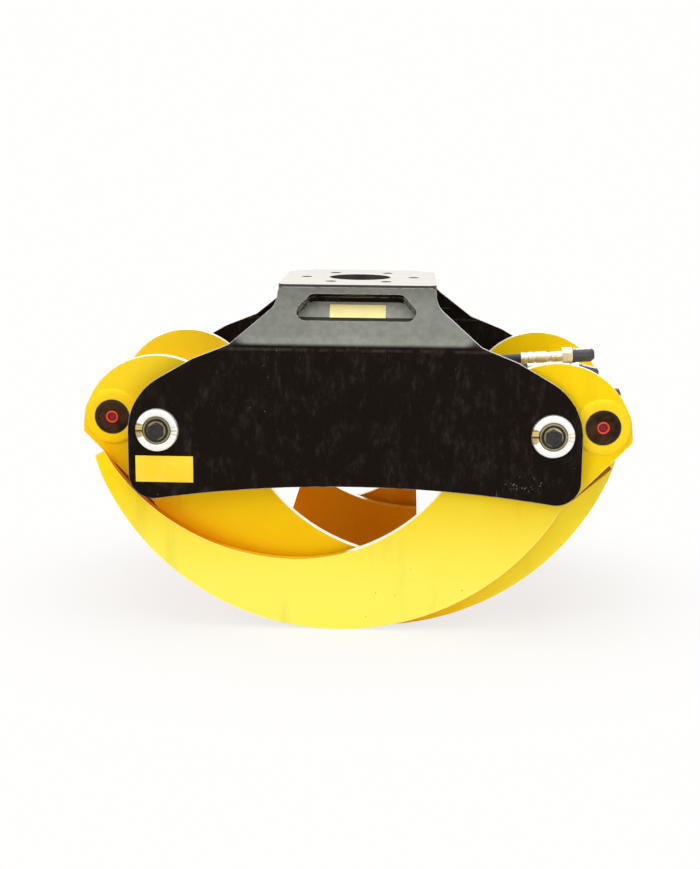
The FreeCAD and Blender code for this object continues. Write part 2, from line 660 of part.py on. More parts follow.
def make_skin(label, side, gap):
    """Bent plate across a claw, along the inner edge near the hub."""
    body = new_body(label)
    _, near, _, _ = claw_points(side)
    start, end = -size("SkinTopAngle"), -size("SkinEndAngle")
    upper = arc_between(near, INNER_NEAR_RADIUS, start, end, side)
    lower = arc_between(near, INNER_NEAR_RADIUS + size("SkinThick"), end, start, side)
    outline = [
        upper,
        Part.LineSegment(upper.EndPoint, lower.StartPoint),
        lower,
        Part.LineSegment(lower.EndPoint, upper.StartPoint),
    ]
    width = f"2 * ({claw_depth_cell(gap)} - {cell('ClawThick')})"
    pad(body, new_sketch(body, "XZ_Plane", outline), width, both_ways=True)
    seat(body, side=f"{side} * {cell('PivotHalfSpan')}", rise=PIVOT_RISE)


def make_hub(label, side, front, gap):
    """Hub tube: a nose through the plate and a wider barrel inside it."""
    body = new_body(label)
    bore = size("StubPinRadius") + size("RunClearance") + size("BushWall")
    far = CHEEK_INNER - size("HubGap")
    step = claw_depth(gap) - size("ClawThick")
    near = WEB_OUTER + size("HubGap")
    corners = [
        (bore, near), (size("HubRadius"), near), (size("HubRadius"), step), (size("HubNoseRadius"), step),
        (size("HubNoseRadius"), far), (bore, far),
    ]
    turned(body, [(radius, front * depth, 0) for radius, depth in corners], "V_Axis", "XY_Plane")
    seat(body, side=f"{side} * {cell('PivotHalfSpan')}", rise=PIVOT_RISE)


def make_bushes(label, side):
    """Bushes that line the front and rear hub tubes of one claw."""
    bushes = []
    inner = size("StubPinRadius") + size("RunClearance")
    outer = inner + size("BushWall") - size("SeatClearance")
    near, far = WEB_OUTER + size("HubGap"), CHEEK_INNER - size("HubGap")
    for front in (-1, 1):
        body = new_body(f"{label}_{'front' if front < 0 else 'rear'}")
        corners = [(inner, near), (outer, near), (outer, far), (inner, far)]
        turned(body, [(radius, front * depth, 0) for radius, depth in corners], "V_Axis", "XY_Plane")
        seat(body, side=f"{side} * {cell('PivotHalfSpan')}", rise=PIVOT_RISE)
        bushes.append(body)
    joined(label, bushes)


def make_ear_tube(label, side, front, gap):
    """Tube round the cylinder pin, from the claw plate to the cylinder eye."""
    body = new_body(label)
    bore = size("EarPinRadius") + size("SeatClearance")
    near = size("EyeHalfDepth") + size("EyeGap")
    far = claw_depth(gap) - size("ClawThick")
    corners = [(bore, near), (size("EarTubeRadius"), near), (size("EarTubeRadius"), far), (bore, far)]
    turned(body, [(radius, front * depth, 0) for radius, depth in corners], "V_Axis", "XY_Plane")
    seat(body, side=f"{side} * ({EAR_SIDE})", rise=EAR_RISE)


def make_ear_pin(label, side, gap):
    """Bare steel cylinder pin, bored at both ends for its plugs."""
    body = new_body(label)
    reach = claw_depth(gap) + size("EarCollarThick") + size("EarPinProud")
    bore = size("PlugRadius") + size("SeatClearance")
    deep = size("PlugDepth")
    radius, end_round = size("EarPinRadius"), size("EarPinRound")
    corners = [
        (0, -reach + deep, 0), (bore, -reach + deep, 0), (bore, -reach, 0), (radius, -reach, end_round),
        (radius, reach, end_round), (bore, reach, 0), (bore, reach - deep, 0), (0, reach - deep, 0),
    ]
    turned(body, corners, "V_Axis", "XY_Plane")
    seat(body, side=f"{side} * ({EAR_SIDE})", rise=EAR_RISE)


def make_plugs(label, side, gap):
    """Plastic plugs in both ends of a cylinder pin, each with a socket."""
    plugs = []
    reach = claw_depth(gap) + size("EarCollarThick") + size("EarPinProud")
    for front in (-1, 1):
        body = new_body(f"{label}_{'front' if front < 0 else 'rear'}")
        radius, socket = size("PlugRadius"), size("PlugSocketRadius")
        corners = [
            (0, reach - size("PlugDepth"), 0), (radius, reach - size("PlugDepth"), 0),
            (radius, reach + size("PlugRim"), size("PlugRim") / 2), (socket, reach + size("PlugRim"), 0),
            (socket, reach - size("PlugDepth") / 2, 0), (0, reach - size("PlugDepth") / 2, 0),
        ]
        turned(body, [(wide, front * depth, round_) for wide, depth, round_ in corners], "V_Axis", "XY_Plane")
        seat(body, side=f"{side} * ({EAR_SIDE})", rise=EAR_RISE)
        plugs.append(body)
    joined(label, plugs)


def make_claw(name, side, gap):
    """One claw with everything that is welded or pressed into it."""
    for end, front in (("front", -1), ("rear", 1)):
        make_claw_plate(f"{name}_claw_{end}_plate", side, front, gap)
        make_hub(f"{name}_hub_{end}", side, front, gap)
        make_ear_tube(f"{name}_ear_tube_{end}", side, front, gap)
    make_skin(f"{name}_claw_skin", side, gap)
    make_bushes(f"{name}_hub_bushes", side)
    make_ear_pin(f"{name}_cylinder_pin", side, gap)
    make_plugs(f"{name}_pin_plugs", side, gap)


# Cylinder. Lengths run from the base pin at the right towards the rod pin at the left

PIN_SPAN = 2 * (size("PivotHalfSpan") + size("EarPinSide"))
BARREL_END = PIN_SPAN - size("BarrelToRodPin")


def along_cylinder(label, corners):
    """Revolved piece on the cylinder's axis, from (reach, radius, round) corners."""
    body = new_body(label)
    turned(body, [(-reach, radius, round_) for reach, radius, round_ in corners])
    seat(body, side=EAR_SIDE, rise=EAR_RISE)
    return body


def make_eye(body, reach, towards):
    """Eye with its neck, bored for a bush; towards is -1 or 1 along the axis."""
    eye, neck = size("EyeRadius"), size("NeckHalfHeight")
    join = towards * math.sqrt(eye ** 2 - neck ** 2)
    outline = [
        Part.Arc(Vector(join, neck, 0), Vector(-towards * eye, 0, 0), Vector(join, -neck, 0)),
        Part.LineSegment(Vector(join, -neck, 0), Vector(towards * reach, -neck, 0)),
        Part.LineSegment(Vector(towards * reach, -neck, 0), Vector(towards * reach, neck, 0)),
        Part.LineSegment(Vector(towards * reach, neck, 0), Vector(join, neck, 0)),
        ring(0, 0, size("EarPinRadius") + size("RunClearance") + size("EyeBushWall")),
    ]
    pad(body, new_sketch(body, "XZ_Plane", outline), f"2 * {cell('EyeHalfDepth')}", both_ways=True)


def make_eye_bush(label, side):
    """Bush in an eye of the cylinder."""
    body = new_body(label)
    inner = size("EarPinRadius") + size("RunClearance")
    outer = inner + size("EyeBushWall") - size("SeatClearance")
    pad(body, new_sketch(body, "XZ_Plane", [ring(0, 0, outer), ring(0, 0, inner)]),
        f"2 * {cell('EyeHalfDepth')}", both_ways=True)
    seat(body, side=f"{side} * ({EAR_SIDE})", rise=EAR_RISE)


def make_barrel():
    """Base eye, barrel tube, gland and wiper."""
    base = size("BaseReach")
    cap = base + size("CapThick")
    body = new_body("cylinder_base")
    make_eye(body, base, -1)
    disc = [(-base, 0, 0), (-base, size("BarrelRadius"), size("CapRound")), (-cap, size("BarrelRadius"), 0), (-cap, 0, 0)]
    turned(body, disc)
    seat(body, side=EAR_SIDE, rise=EAR_RISE)
    make_eye_bush("base_eye_bush", 1)
    wide, bore = size("BarrelRadius"), size("BarrelBore")
    along_cylinder("cylinder_barrel", [(cap, bore, 0), (cap, wide, 0), (BARREL_END, wide, 0), (BARREL_END, bore, 0)])
    rod_bore = size("RodRadius") + size("RunClearance")
    face = BARREL_END + size("GlandFlange")
    spigot = BARREL_END - size("GlandSpigot")
    gland = along_cylinder("cylinder_gland", [
        (spigot, rod_bore, 0), (spigot, bore - size("SeatClearance"), 0), (BARREL_END, bore - size("SeatClearance"), 0),
        (BARREL_END, wide, 0), (face, wide, size("GlandRound")), (face, rod_bore, 0),
    ])
    slot = size("GlandSlot")
    middle = -(BARREL_END + face) / 2
    notch = new_sketch(gland, "XY_Plane", box_outline(middle - slot, middle + slot, -slot / 2, slot / 2),
                       Placement(Vector(0, 0, wide), Rotation()))
    first = pocket_deep(gland, notch, cell("GlandSlot"))
    pattern = gland.newObject("PartDesign::PolarPattern", "SpannerSlots")
    pattern.Originals = [first]
    pattern.Axis = (next(item for item in gland.Origin.OriginFeatures if item.Role == "X_Axis"), [""])
    pattern.Occurrences = 6
    gland.Tip = pattern
    end = face + size("WiperThick")
    along_cylinder("rod_wiper", [
        (face, rod_bore, 0), (face, size("WiperRadius"), 0), (end, size("WiperRadius"), size("WiperRound")),
        (end, rod_bore, 0),
    ])


def make_rod():
    """Rod eye, rod, piston and the nut behind it."""
    body = new_body("rod_eye")
    make_eye(body, size("RodReach"), 1)
    seat(body, side=f"-({EAR_SIDE})", rise=EAR_RISE)
    make_eye_bush("rod_eye_bush", -1)
    rod_start = BARREL_END - size("PistonInBarrel")
    radius = size("RodRadius")
    along_cylinder("piston_rod", [
        (rod_start, 0, 0), (rod_start, radius, 0), (PIN_SPAN - size("RodReach"), radius, 0),
        (PIN_SPAN - size("RodReach"), 0, 0),
    ])
    back = rod_start - size("PistonThick")
    wide = size("BarrelBore") - size("RunClearance")
    nut, rim = back - size("PistonNutThick"), size("PistonRound")
    along_cylinder("piston", [
        (rod_start, 0, 0), (rod_start, wide, rim), (back, wide, rim), (back, size("PistonNutRadius"), 0),
        (nut, size("PistonNutRadius"), rim), (nut, 0, 0),
    ])


def make_port_block():
    """Port block that sits on the barrel, with both hose outlets on its right face."""
    body = new_body("port_block")
    top, half = size("BlockTop"), size("BlockHalfDepth")
    wide = size("BarrelRadius")
    foot = math.sqrt(wide ** 2 - half ** 2)
    section = [
        Part.Arc(Vector(-half, foot, 0), Vector(0, wide, 0), Vector(half, foot, 0)),
        Part.LineSegment(Vector(half, foot, 0), Vector(half, top, 0)),
        Part.LineSegment(Vector(half, top, 0), Vector(-half, top, 0)),
        Part.LineSegment(Vector(-half, top, 0), Vector(-half, foot, 0)),
    ]
    pad(body, new_sketch(body, "YZ_Plane", section), cell("BlockLength"), backwards=True)
    to_rod_pin = f"{cell('BarrelToRodPin')} + {cell('BlockToBarrelEnd')} + {cell('BlockLength')}"
    seat(body, side=f"{to_rod_pin} - ({EAR_SIDE})", rise=EAR_RISE)


# Hoses

BLOCK_FACE = PIN_SPAN / 2 - BARREL_END + size("BlockToBarrelEnd") + size("BlockLength")
HOSE_ROUTES = {
    "upper": [Vector(BLOCK_FACE, -20, 394), Vector(80, -20, 394), Vector(176, -19, 403), Vector(262, -20, 409)],
    "lower": [Vector(BLOCK_FACE, 21, 384), Vector(84, 21, 384), Vector(184, 22, 385), Vector(276, 22, 388)],
}


def hose_path(points):
    """Straight runs joined by tangent arcs."""
    edges = []
    last = points[0]
    for before, corner, after in zip(points, points[1:], points[2:]):
        back, ahead = (before - corner), (after - corner)
        turn = math.pi - back.getAngle(ahead)
        radius = 0.45 * min(back.Length, ahead.Length) / math.tan(turn / 2)
        reach = radius * math.tan(turn / 2)
        print("hose bend radius", round(radius))
        start, end = corner + back.normalize() * reach, corner + ahead.normalize() * reach
        inward = (back + ahead).normalize() * radius * (1 / math.cos(turn / 2) - 1)
        edges.append(Part.LineSegment(last, start).toShape())
        edges.append(Part.Arc(start, corner + inward, end).toShape())
        last = end
    edges.append(Part.LineSegment(last, points[-1]).toShape())
    return Part.Wire(edges)


def make_hose(label, points):
    """Hose along its route; its sizes are read from the sheet."""
    path = hose_path(points)
    ahead = (points[1] - points[0]).normalize()
    circle = Part.Wire([Part.Circle(points[0], ahead, size("HoseRadius")).toShape()])
    hose = doc.addObject("Part::Feature", label)
    hose.Label = label
    hose.Shape = path.makePipeShell([circle], True, False)
    expected = path.Length * math.pi * size("HoseRadius") ** 2
    print(label, "volume ratio", round(hose.Shape.Volume / expected, 4))
    NODES.append(hose)


def make_hose_end(name, points, tilt):
    """Crimped ferrule and nipple in line with the hose, then a nut and protective cap tilted down from it."""
    along = (points[-1] - points[-2]).normalize()
    turn = Rotation(Vector(1, 0, 0), along)
    ferrule, nipple, nut, cap = (size(part) for part in ("FerruleLength", "NippleLength", "NutLength", "HoseCapLength"))
    wide, thin, groove = size("FerruleRadius"), size("NippleRadius"), size("FerruleGroove")
    bend, knee = size("NippleBend"), ferrule + nipple - size("NippleBend")
    fitting = new_body(f"{name}_hose_fitting")
    band = ferrule / 6
    corners = [(0, 0, 0), (0, wide, groove)]
    for step in (1, 3):
        corners += [(band * step, wide, 0), (band * (step + 0.5), wide - groove, 0), (band * (step + 1), wide, 0)]
    corners += [(ferrule, wide, groove), (ferrule, thin, 0), (knee, thin, 0), (knee, 0, 0)]
    turned(fitting, corners)
    bent = Placement(Vector(knee, 0, 0), Rotation(Vector(0, 0, 1), -tilt))
    turned(fitting, [(-bend / 2, 0, 0), (-bend / 2, thin, 0), (bend, thin, 0), (bend, 0, 0)], offset=bent)
    fitting.Placement = Placement(points[-1], turn)
    tilted = turn.multiply(Rotation(Vector(0, 1, 0), tilt))
    ahead = tilted.multVec(Vector(1, 0, 0))
    joint = points[-1] + along * knee + ahead * bend
    nut_body = new_body(f"{name}_hose_nut")
    pad(nut_body, new_sketch(nut_body, "YZ_Plane", hexagon(size("NutAcross"))), cell("NutLength"))
    nut_body.Placement = Placement(joint, tilted)
    cap_body = new_body(f"{name}_hose_cap")
    radius, chamfer = size("HoseCapRadius"), size("HoseCapChamfer")
    turned(cap_body, [(0, 0, 0), (0, radius, 0), (cap - chamfer, radius, 0), (cap, radius - chamfer, 0), (cap, 0, 0)])
    cap_body.Placement = Placement(joint + ahead * nut, tilted)


def make_grease_cap():
    """Cap over the grease nipple of the base eye."""
    body = new_body("grease_cap")
    start = size("EyeRadius")
    end = start + size("GreaseCapLength")
    radius = size("GreaseCapRadius")
    turned(body, [(start, 0, 0), (start, radius, 0), (end, radius, size("GreaseCapRound")), (end, 0, 0)])
    turn = Rotation(Vector(0, 1, 0), -size("GreaseCapAngle"))
    body.Placement = Placement(Vector(size("PivotHalfSpan") + size("EarPinSide"), 0,
                                      size("PivotHeight") + size("EarPinRise")), turn)


def make_frame():
    """Everything that stands still with the rotator flange."""
    make_flange()
    for end, front in (("front", -1), ("rear", 1)):
        make_cheek(f"{end}_cheek", front)
        make_tray(f"{end}_slot_tray", front)
        make_web(f"{end}_web", front)
        make_ribs(f"{end}_ribs", front)
    washers, bolts = [], []
    for end, front in (("front", -1), ("rear", 1)):
        for hand, side in (("left", -1), ("right", 1)):
            make_stub_pin(f"pivot_pin_{hand}_{end}", side, front)
            make_sleeve(f"pivot_sleeve_{hand}_{end}", side, front)
            washers.append(make_washer(f"pivot_washer_{hand}_{end}", side, front))
            bolts.append(make_pivot_bolt(f"pivot_bolt_{hand}_{end}", side, front))
    joined("pivot_washers", washers)
    joined("pivot_bolts", bolts)


make_frame()
make_claw("left", -1, "LeftClawGap")
make_claw("right", 1, "RightClawGap")
make_barrel()
make_rod()
make_port_block()
for name, points in HOSE_ROUTES.items():
    make_hose(f"{name}_hose", points)
    make_hose_end(name, points, size("LowerEndTilt") if name == "lower" else 0)
make_grease_cap()

doc.recompute()
for item in doc.Objects:
    if "Invalid" in item.State or "Error" in item.State:
        raise RuntimeError(f"{item.Label} did not compute")
for piece in NODES:
    if piece.Shape.isNull() or not piece.Shape.isValid():
        raise RuntimeError(f"{piece.Label} has no valid shape")

os.makedirs("parts", exist_ok=True)
for piece in NODES:
    piece.Shape.exportStep(f"parts/{piece.Label}.step")
print(len(NODES), "pieces")
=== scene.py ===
"""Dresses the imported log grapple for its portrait.

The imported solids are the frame. Each sub-assembly below keeps the solids whose
shape is right and gives them a finish, and models the pieces that need more
detail. All lengths are metres, in the frame of the solids: X runs to the wide
claw's pivot, Y to the rear and Z up.
"""

from __future__ import annotations

import logging
import math
from dataclasses import dataclass
from enum import Enum
from typing import Any, Iterable, Sequence

import bpy
from mathutils import Matrix, Vector

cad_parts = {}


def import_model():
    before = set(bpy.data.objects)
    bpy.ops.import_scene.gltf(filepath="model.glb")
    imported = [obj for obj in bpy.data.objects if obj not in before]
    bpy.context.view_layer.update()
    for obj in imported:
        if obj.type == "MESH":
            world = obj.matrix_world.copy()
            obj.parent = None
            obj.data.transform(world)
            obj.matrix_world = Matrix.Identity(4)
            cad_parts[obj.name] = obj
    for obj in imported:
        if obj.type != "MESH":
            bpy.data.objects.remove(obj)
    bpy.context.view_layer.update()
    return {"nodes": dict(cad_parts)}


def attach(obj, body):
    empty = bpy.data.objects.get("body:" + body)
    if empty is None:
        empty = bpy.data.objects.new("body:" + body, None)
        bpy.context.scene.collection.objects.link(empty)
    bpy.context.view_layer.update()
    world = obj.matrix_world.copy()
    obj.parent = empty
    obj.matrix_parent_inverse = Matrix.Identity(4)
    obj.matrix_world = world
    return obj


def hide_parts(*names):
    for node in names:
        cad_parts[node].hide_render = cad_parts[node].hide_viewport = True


log = logging.getLogger("grapple")

Point = tuple[float, float, float]
Colour = tuple[float, float, float]


# ---------------------------------------------------------------- shader tools


class Signal:
    """A shader socket that takes Python arithmetic, so that a mask reads like a formula."""

    def __init__(self, graph: "Graph", socket: bpy.types.NodeSocket | None) -> None:
        """Wraps one output socket of a graph, or none for a node that ends it."""
        self.graph = graph
        self.socket = socket

    def math(self, operation: str, *others: "Signal | float", swapped: bool = False) -> "Signal":
        """One Math node.

        Args:
            operation: the Math node's operation.
            others: the values after this one.
            swapped: True where this value comes second.

        Returns:
            The node's value.
        """
        values = [self, *others]
        if swapped:
            values.reverse()
        return self.graph.node(
            "ShaderNodeMath", {"operation": operation}, dict(enumerate(values))
        )

    def __add__(self, other: "Signal | float") -> "Signal":
        """Sum."""
        return self.math("ADD", other)

    __radd__ = __add__

    def __mul__(self, other: "Signal | float") -> "Signal":
        """Product."""
        return self.math("MULTIPLY", other)

    __rmul__ = __mul__

    def __sub__(self, other: "Signal | float") -> "Signal":
        """Difference."""
        return self.math("SUBTRACT", other)

    def __rsub__(self, other: float) -> "Signal":
        """Difference with this value second."""
        return self.math("SUBTRACT", other, swapped=True)

    def __truediv__(self, other: "Signal | float") -> "Signal":
        """Quotient."""
        return self.math("DIVIDE", other)

    def __pow__(self, other: "Signal | float") -> "Signal":
        """Power."""
        return self.math("POWER", other)

    def __gt__(self, other: "Signal | float") -> "Signal":
        """1 where this value is the larger one."""
        return self.math("GREATER_THAN", other)

    def __lt__(self, other: "Signal | float") -> "Signal":
        """1 where this value is the smaller one."""
        return self.math("LESS_THAN", other)

    def __abs__(self) -> "Signal":
        """Size without sign."""
        return self.math("ABSOLUTE")

    def clamped(self) -> "Signal":
        """This value kept between 0 and 1."""
        return self.math("MINIMUM", 1.0).math("MAXIMUM", 0.0)

    def between(self, low: float, high: float) -> "Signal":
        """A smooth step.

        Args:
            low: the value that gives 0.
            high: the value that gives 1.

        Returns:
            The step, from 0 to 1.
        """
        return self.graph.node(
            "ShaderNodeMapRange",
            {"interpolation_type": "SMOOTHSTEP"},
            {"Value": self, "From Min": low, "From Max": high},
        )


class Graph:
    """The node tree of one material or world."""

    def __init__(self, owner: bpy.types.Material | bpy.types.World) -> None:
        """Empties the owner's node tree."""
        self.owner = owner
        owner.use_nodes = True
        self.tree = owner.node_tree
        self.tree.nodes.clear()

    def node(
        self,
        kind: str,
        settings: dict[str, Any] | None = None,
        inputs: dict[str | int, Any] | None = None,
        output: str | int = 0,
    ) -> Signal:
        """Adds any node.

        Args:
            kind: the node's type.
            settings: its settings; "stops" is a ramp's list of place and colour.
            inputs: values or signals by socket name or number.
            output: the socket that is returned.

        Returns:
            The chosen output.
        """
        made = self.tree.nodes.new(kind)
        for key, value in (settings or {}).items():
            if key == "stops":
                ramp = made.color_ramp
                for _ in range(len(value) - 2):
                    ramp.elements.new(0.5)
                for element, (place, colour) in zip(ramp.elements, value):
                    element.position = place
                    element.color = (*colour, 1.0)
            else:
                setattr(made, key, value)
        for key, value in (inputs or {}).items():
            socket = made.inputs[key]
            if isinstance(value, Signal):
                self.tree.links.new(value.socket, socket)
            elif isinstance(value, tuple) and len(value) == 3 and socket.type == "RGBA":
                socket.default_value = (*value, 1.0)
            else:
                socket.default_value = value
        return Signal(self, made.outputs[output] if made.outputs else None)

    def place(self, scale: Point = (1.0, 1.0, 1.0), turn: Point = (0.0, 0.0, 0.0), centre: Point = (0.0, 0.0, 0.0)) -> Signal:
        """Object coordinates through a Mapping node.

        Args:
            scale: stretch of the pattern along each axis.
            turn: turn of the pattern in degrees.
            centre: the point that becomes the pattern's origin.

        Returns:
            The coordinates.
        """
        source = self.node("ShaderNodeTexCoord", output="Object")
        if centre != (0.0, 0.0, 0.0):
            source = self.node(
                "ShaderNodeMapping", {}, {"Vector": source, "Location": tuple(-c for c in centre)}
            )
        return self.node(
            "ShaderNodeMapping",
            {},
            {"Vector": source, "Rotation": tuple(math.radians(a) for a in turn), "Scale": scale},
        )

    def noise(self, scale: float, detail: float = 4.0, at: Signal | None = None, roughness: float = 0.55) -> Signal:
        """Cloudy noise from 0 to 1.

        Args:
            scale: features in a metre.
            detail: number of finer layers.
            at: the coordinates, or None for plain object ones.
            roughness: weight of the finer layers.

        Returns:
            The noise.
        """
        return self.node(
            "ShaderNodeTexNoise",
            {},
            {"Vector": at or self.place(), "Scale": scale, "Detail": detail, "Roughness": roughness},
        )

    def cells(self, scale: float, at: Signal | None = None, output: str = "Distance") -> Signal:
        """Distance to scattered points, for specks and dents."""
        return self.node("ShaderNodeTexVoronoi", {}, {"Vector": at or self.place(), "Scale": scale}, output)

    def mix(self, factor: Signal | float, first: Signal | Colour, second: Signal | Colour) -> Signal:
        """Blends two colours by a factor."""
        return self.node(
            "ShaderNodeMix",
            {"data_type": "RGBA"},
            {0: factor, 6: first, 7: second},
            2,
        )

    def axis(self, vector: Signal, letter: str) -> Signal:
        """One part of a vector."""
        return self.node("ShaderNodeSeparateXYZ", {}, {0: vector}, letter)

    def normal(self) -> Signal:
        """The surface's true direction."""
        return self.node("ShaderNodeNewGeometry", output="True Normal")

    def edges(self, radius: float) -> Signal:
        """A line along each sharp edge.

        Args:
            radius: how wide the line is.

        Returns:
            1 on the edge, 0 a radius away.
        """
        soft = self.node("ShaderNodeBevel", {"samples": 6}, {"Radius": radius})
        agreement = self.node(
            "ShaderNodeVectorMath",
            {"operation": "DOT_PRODUCT"},
            {0: soft, 1: self.normal()},
            "Value",
        )
        return (1.0 - agreement).between(0.005, 0.12)

    def bump(self, height: Signal, distance: float, strength: float = 1.0, under: Signal | None = None) -> Signal:
        """Turns a height into a direction.

        Args:
            height: the relief, from 0 to 1.
            distance: the relief's depth.
            strength: share of the effect.
            under: the direction of a coarser relief below.

        Returns:
            The direction.
        """
        inputs: dict[str | int, Any] = {"Height": height, "Distance": distance, "Strength": strength}
        if under is not None:
            inputs["Normal"] = under
        return self.node("ShaderNodeBump", {}, inputs)

    def surface(self, **sockets: Any) -> bpy.types.Material:
        """Ends the tree in one Principled shader.

        Args:
            sockets: its sockets, with _ for a space in the name.

        Returns:
            The finished material.
        """
        shader = self.node(
            "ShaderNodeBsdfPrincipled",
            {},
            {key.replace("_", " "): value for key, value in sockets.items()},
        )
        self.node("ShaderNodeOutputMaterial", {}, {"Surface": shader})
        return self.owner


# -------------------------------------------------------------------- finishes


@dataclass(frozen=True)
class Finish:
    """A finish that is made once and shared by all that wear it."""

    name: str

    def material(self) -> bpy.types.Material:
        """The finish as a material, made on the first call."""
        name = f"{self.name}_finish"
        return bpy.data.materials.get(name) or self.make(Graph(bpy.data.materials.new(name)))

    def make(self, graph: Graph) -> bpy.types.Material:
        """Builds the node tree."""
        raise NotImplementedError


@dataclass(frozen=True)
class BlackPaint(Finish):
    """Satin black paint, dusty with a painted sky reflection where it faces up, scuffed elsewhere, with a painted
    highlight on its cut edges.
    """

    name: str = "black_paint"
    colour: Colour = (0.0080, 0.0046, 0.0032)
    # Dust colour, which on up-facing faces also serves as a painted reflection of the bright sky.
    dust: Colour = (0.235, 0.240, 0.208)
    scuff: Colour = (0.034, 0.025, 0.018)
    steel: Colour = (0.52, 0.49, 0.45)
    cut_edge_highlight: Colour = (0.86, 0.85, 0.80)
    splash: Point = (0.262, -0.204, 0.243)
    tray: Point = (0.0, -0.13607, 0.49484)
    slope: Point = (0.0, -0.7475, 0.6643)
    uphill: Point = (0.0, 0.6643, 0.7475)

    def make(self, graph: Graph) -> bpy.types.Material:
        """Layers smudges, scratches, specks, dust with a painted reflection, painted highlights on cut edges and bare
        edges over the paint.
        """
        g = graph
        cloud = g.noise(9.0, 5.0)
        smudge = g.noise(66.0, 8.0, g.place((1.0, 1.0, 0.55), (0.0, 18.0, 0.0)), 0.68)
        brushed = g.noise(150.0, 7.0, g.place((1.0, 1.0, 0.30), (0.0, 12.0, 0.0)), 0.75)
        colour = g.mix((smudge.between(0.46, 0.74) * brushed.between(0.38, 0.62)), self.colour, self.scuff)
        # Painted reflection: the film on up-facing faces is dust and also a painted reflection of the bright sky.
        facing_up = g.axis(g.normal(), "Z").between(0.30, 0.62)
        mottle = 0.84 + 0.16 * g.noise(90.0, 6.0).between(0.35, 0.65)
        dust_and_sheen_film = facing_up * mottle * (0.86 + 0.14 * cloud.between(0.35, 0.6))
        side, rise = abs(g.axis(g.place(), "X")), g.axis(g.place(), "Z")
        depth = g.node("ShaderNodeVectorMath", {"operation": "DOT_PRODUCT"}, {0: g.place(centre=self.tray), 1: self.slope}, "Value")
        in_tray = depth.between(0.0030, 0.0010) * side.between(0.100, 0.095)
        uphill = g.node("ShaderNodeVectorMath", {"operation": "DOT_PRODUCT"}, {0: g.place(centre=self.tray), 1: self.uphill}, "Value")
        seam = in_tray * uphill.between(-0.0110, -0.0120)
        wall = abs(g.axis(g.normal(), "X")).between(0.45, 0.75) * rise.between(0.462, 0.470) * side.between(0.105, 0.098)
        dust_and_sheen_film = (dust_and_sheen_film + 0.9 * wall * g.noise(170.0, 4.0).between(0.40, 0.52)) * (1.0 - 0.9 * seam)
        corner = (side + (0.470 - rise)).between(0.176, 0.200) * rise.between(0.482, 0.470)
        dust_and_sheen_film = dust_and_sheen_film * (1.0 - 0.9 * corner)
        # Painted light: the film grows lighter down the slope and is painted much lighter inside the tray, lifting the
        # tray's shade.
        shown = (0.72 + 0.28 * rise.between(0.535, 0.495)) * (1.0 + 0.16 * rise.between(0.468, 0.456) + 0.45 * in_tray)
        dust = g.node("ShaderNodeVectorMath", {"operation": "SCALE"}, {0: self.dust, "Scale": shown}, "Vector")
        colour = g.mix(dust_and_sheen_film.clamped(), colour, dust)
        fold = rise.between(0.4405, 0.4430) * rise.between(0.4470, 0.4450) * g.noise(60.0, 5.0).between(0.35, 0.60)
        colour = g.mix(fold * 0.10, colour, self.dust)
        # Painted highlight: edge faces that face partly up are painted near white, as if catching the sky.
        cut = (1.0 - abs(g.axis(g.normal(), "Y"))).between(0.38, 0.52) * g.axis(g.normal(), "Z").between(0.15, 0.40)
        colour = g.mix(cut * 0.9, colour, self.cut_edge_highlight)
        thin = g.noise(40.0, 3.0, g.place((1.0, 1.0, 0.02), (0.0, 24.0, 0.0)))
        crossing = g.noise(46.0, 3.0, g.place((0.03, 1.0, 1.0), (0.0, 9.0, 0.0)))
        lines = (thin.between(0.685, 0.70) + crossing.between(0.70, 0.715)).clamped()
        short = g.noise(30.0, 4.0, g.place((1.0, 1.0, 0.10), (0.0, -38.0, 0.0)))
        scratches = (lines + short.between(0.70, 0.72)).clamped() * cloud.between(0.42, 0.58)
        colour = g.mix(scratches, colour, tuple(4.0 * c for c in self.scuff))
        specks = (g.cells(95.0) < 0.045) * g.noise(5.0, 2.0).between(0.52, 0.66)
        splash = g.node("ShaderNodeVectorMath", {"operation": "LENGTH"}, {0: g.place((1.0, 0.4, 2.6), centre=self.splash)}, "Value")
        specks = specks + (g.cells(330.0) < 0.20) * (1.0 - splash.between(0.012, 0.040)) * g.noise(90.0, 2.0).between(0.50, 0.56)
        worn = (g.edges(0.0016) * g.noise(70.0, 4.0).between(0.30, 0.55)).clamped()
        bare = (worn * 0.75 + specks).clamped()
        colour = g.mix(bare, colour, self.steel)
        rough = 0.46 + 0.12 * smudge + 0.20 * dust_and_sheen_film
        relief = g.bump(g.noise(700.0, 2.0), 0.00012, 0.35)
        relief = g.bump(bare + scratches, 0.0002, -0.5, relief)
        return g.surface(
            Base_Color=colour,
            Roughness=rough,
            Metallic=bare * 0.8,
            Specular_IOR_Level=0.04,
            Normal=relief,
        )


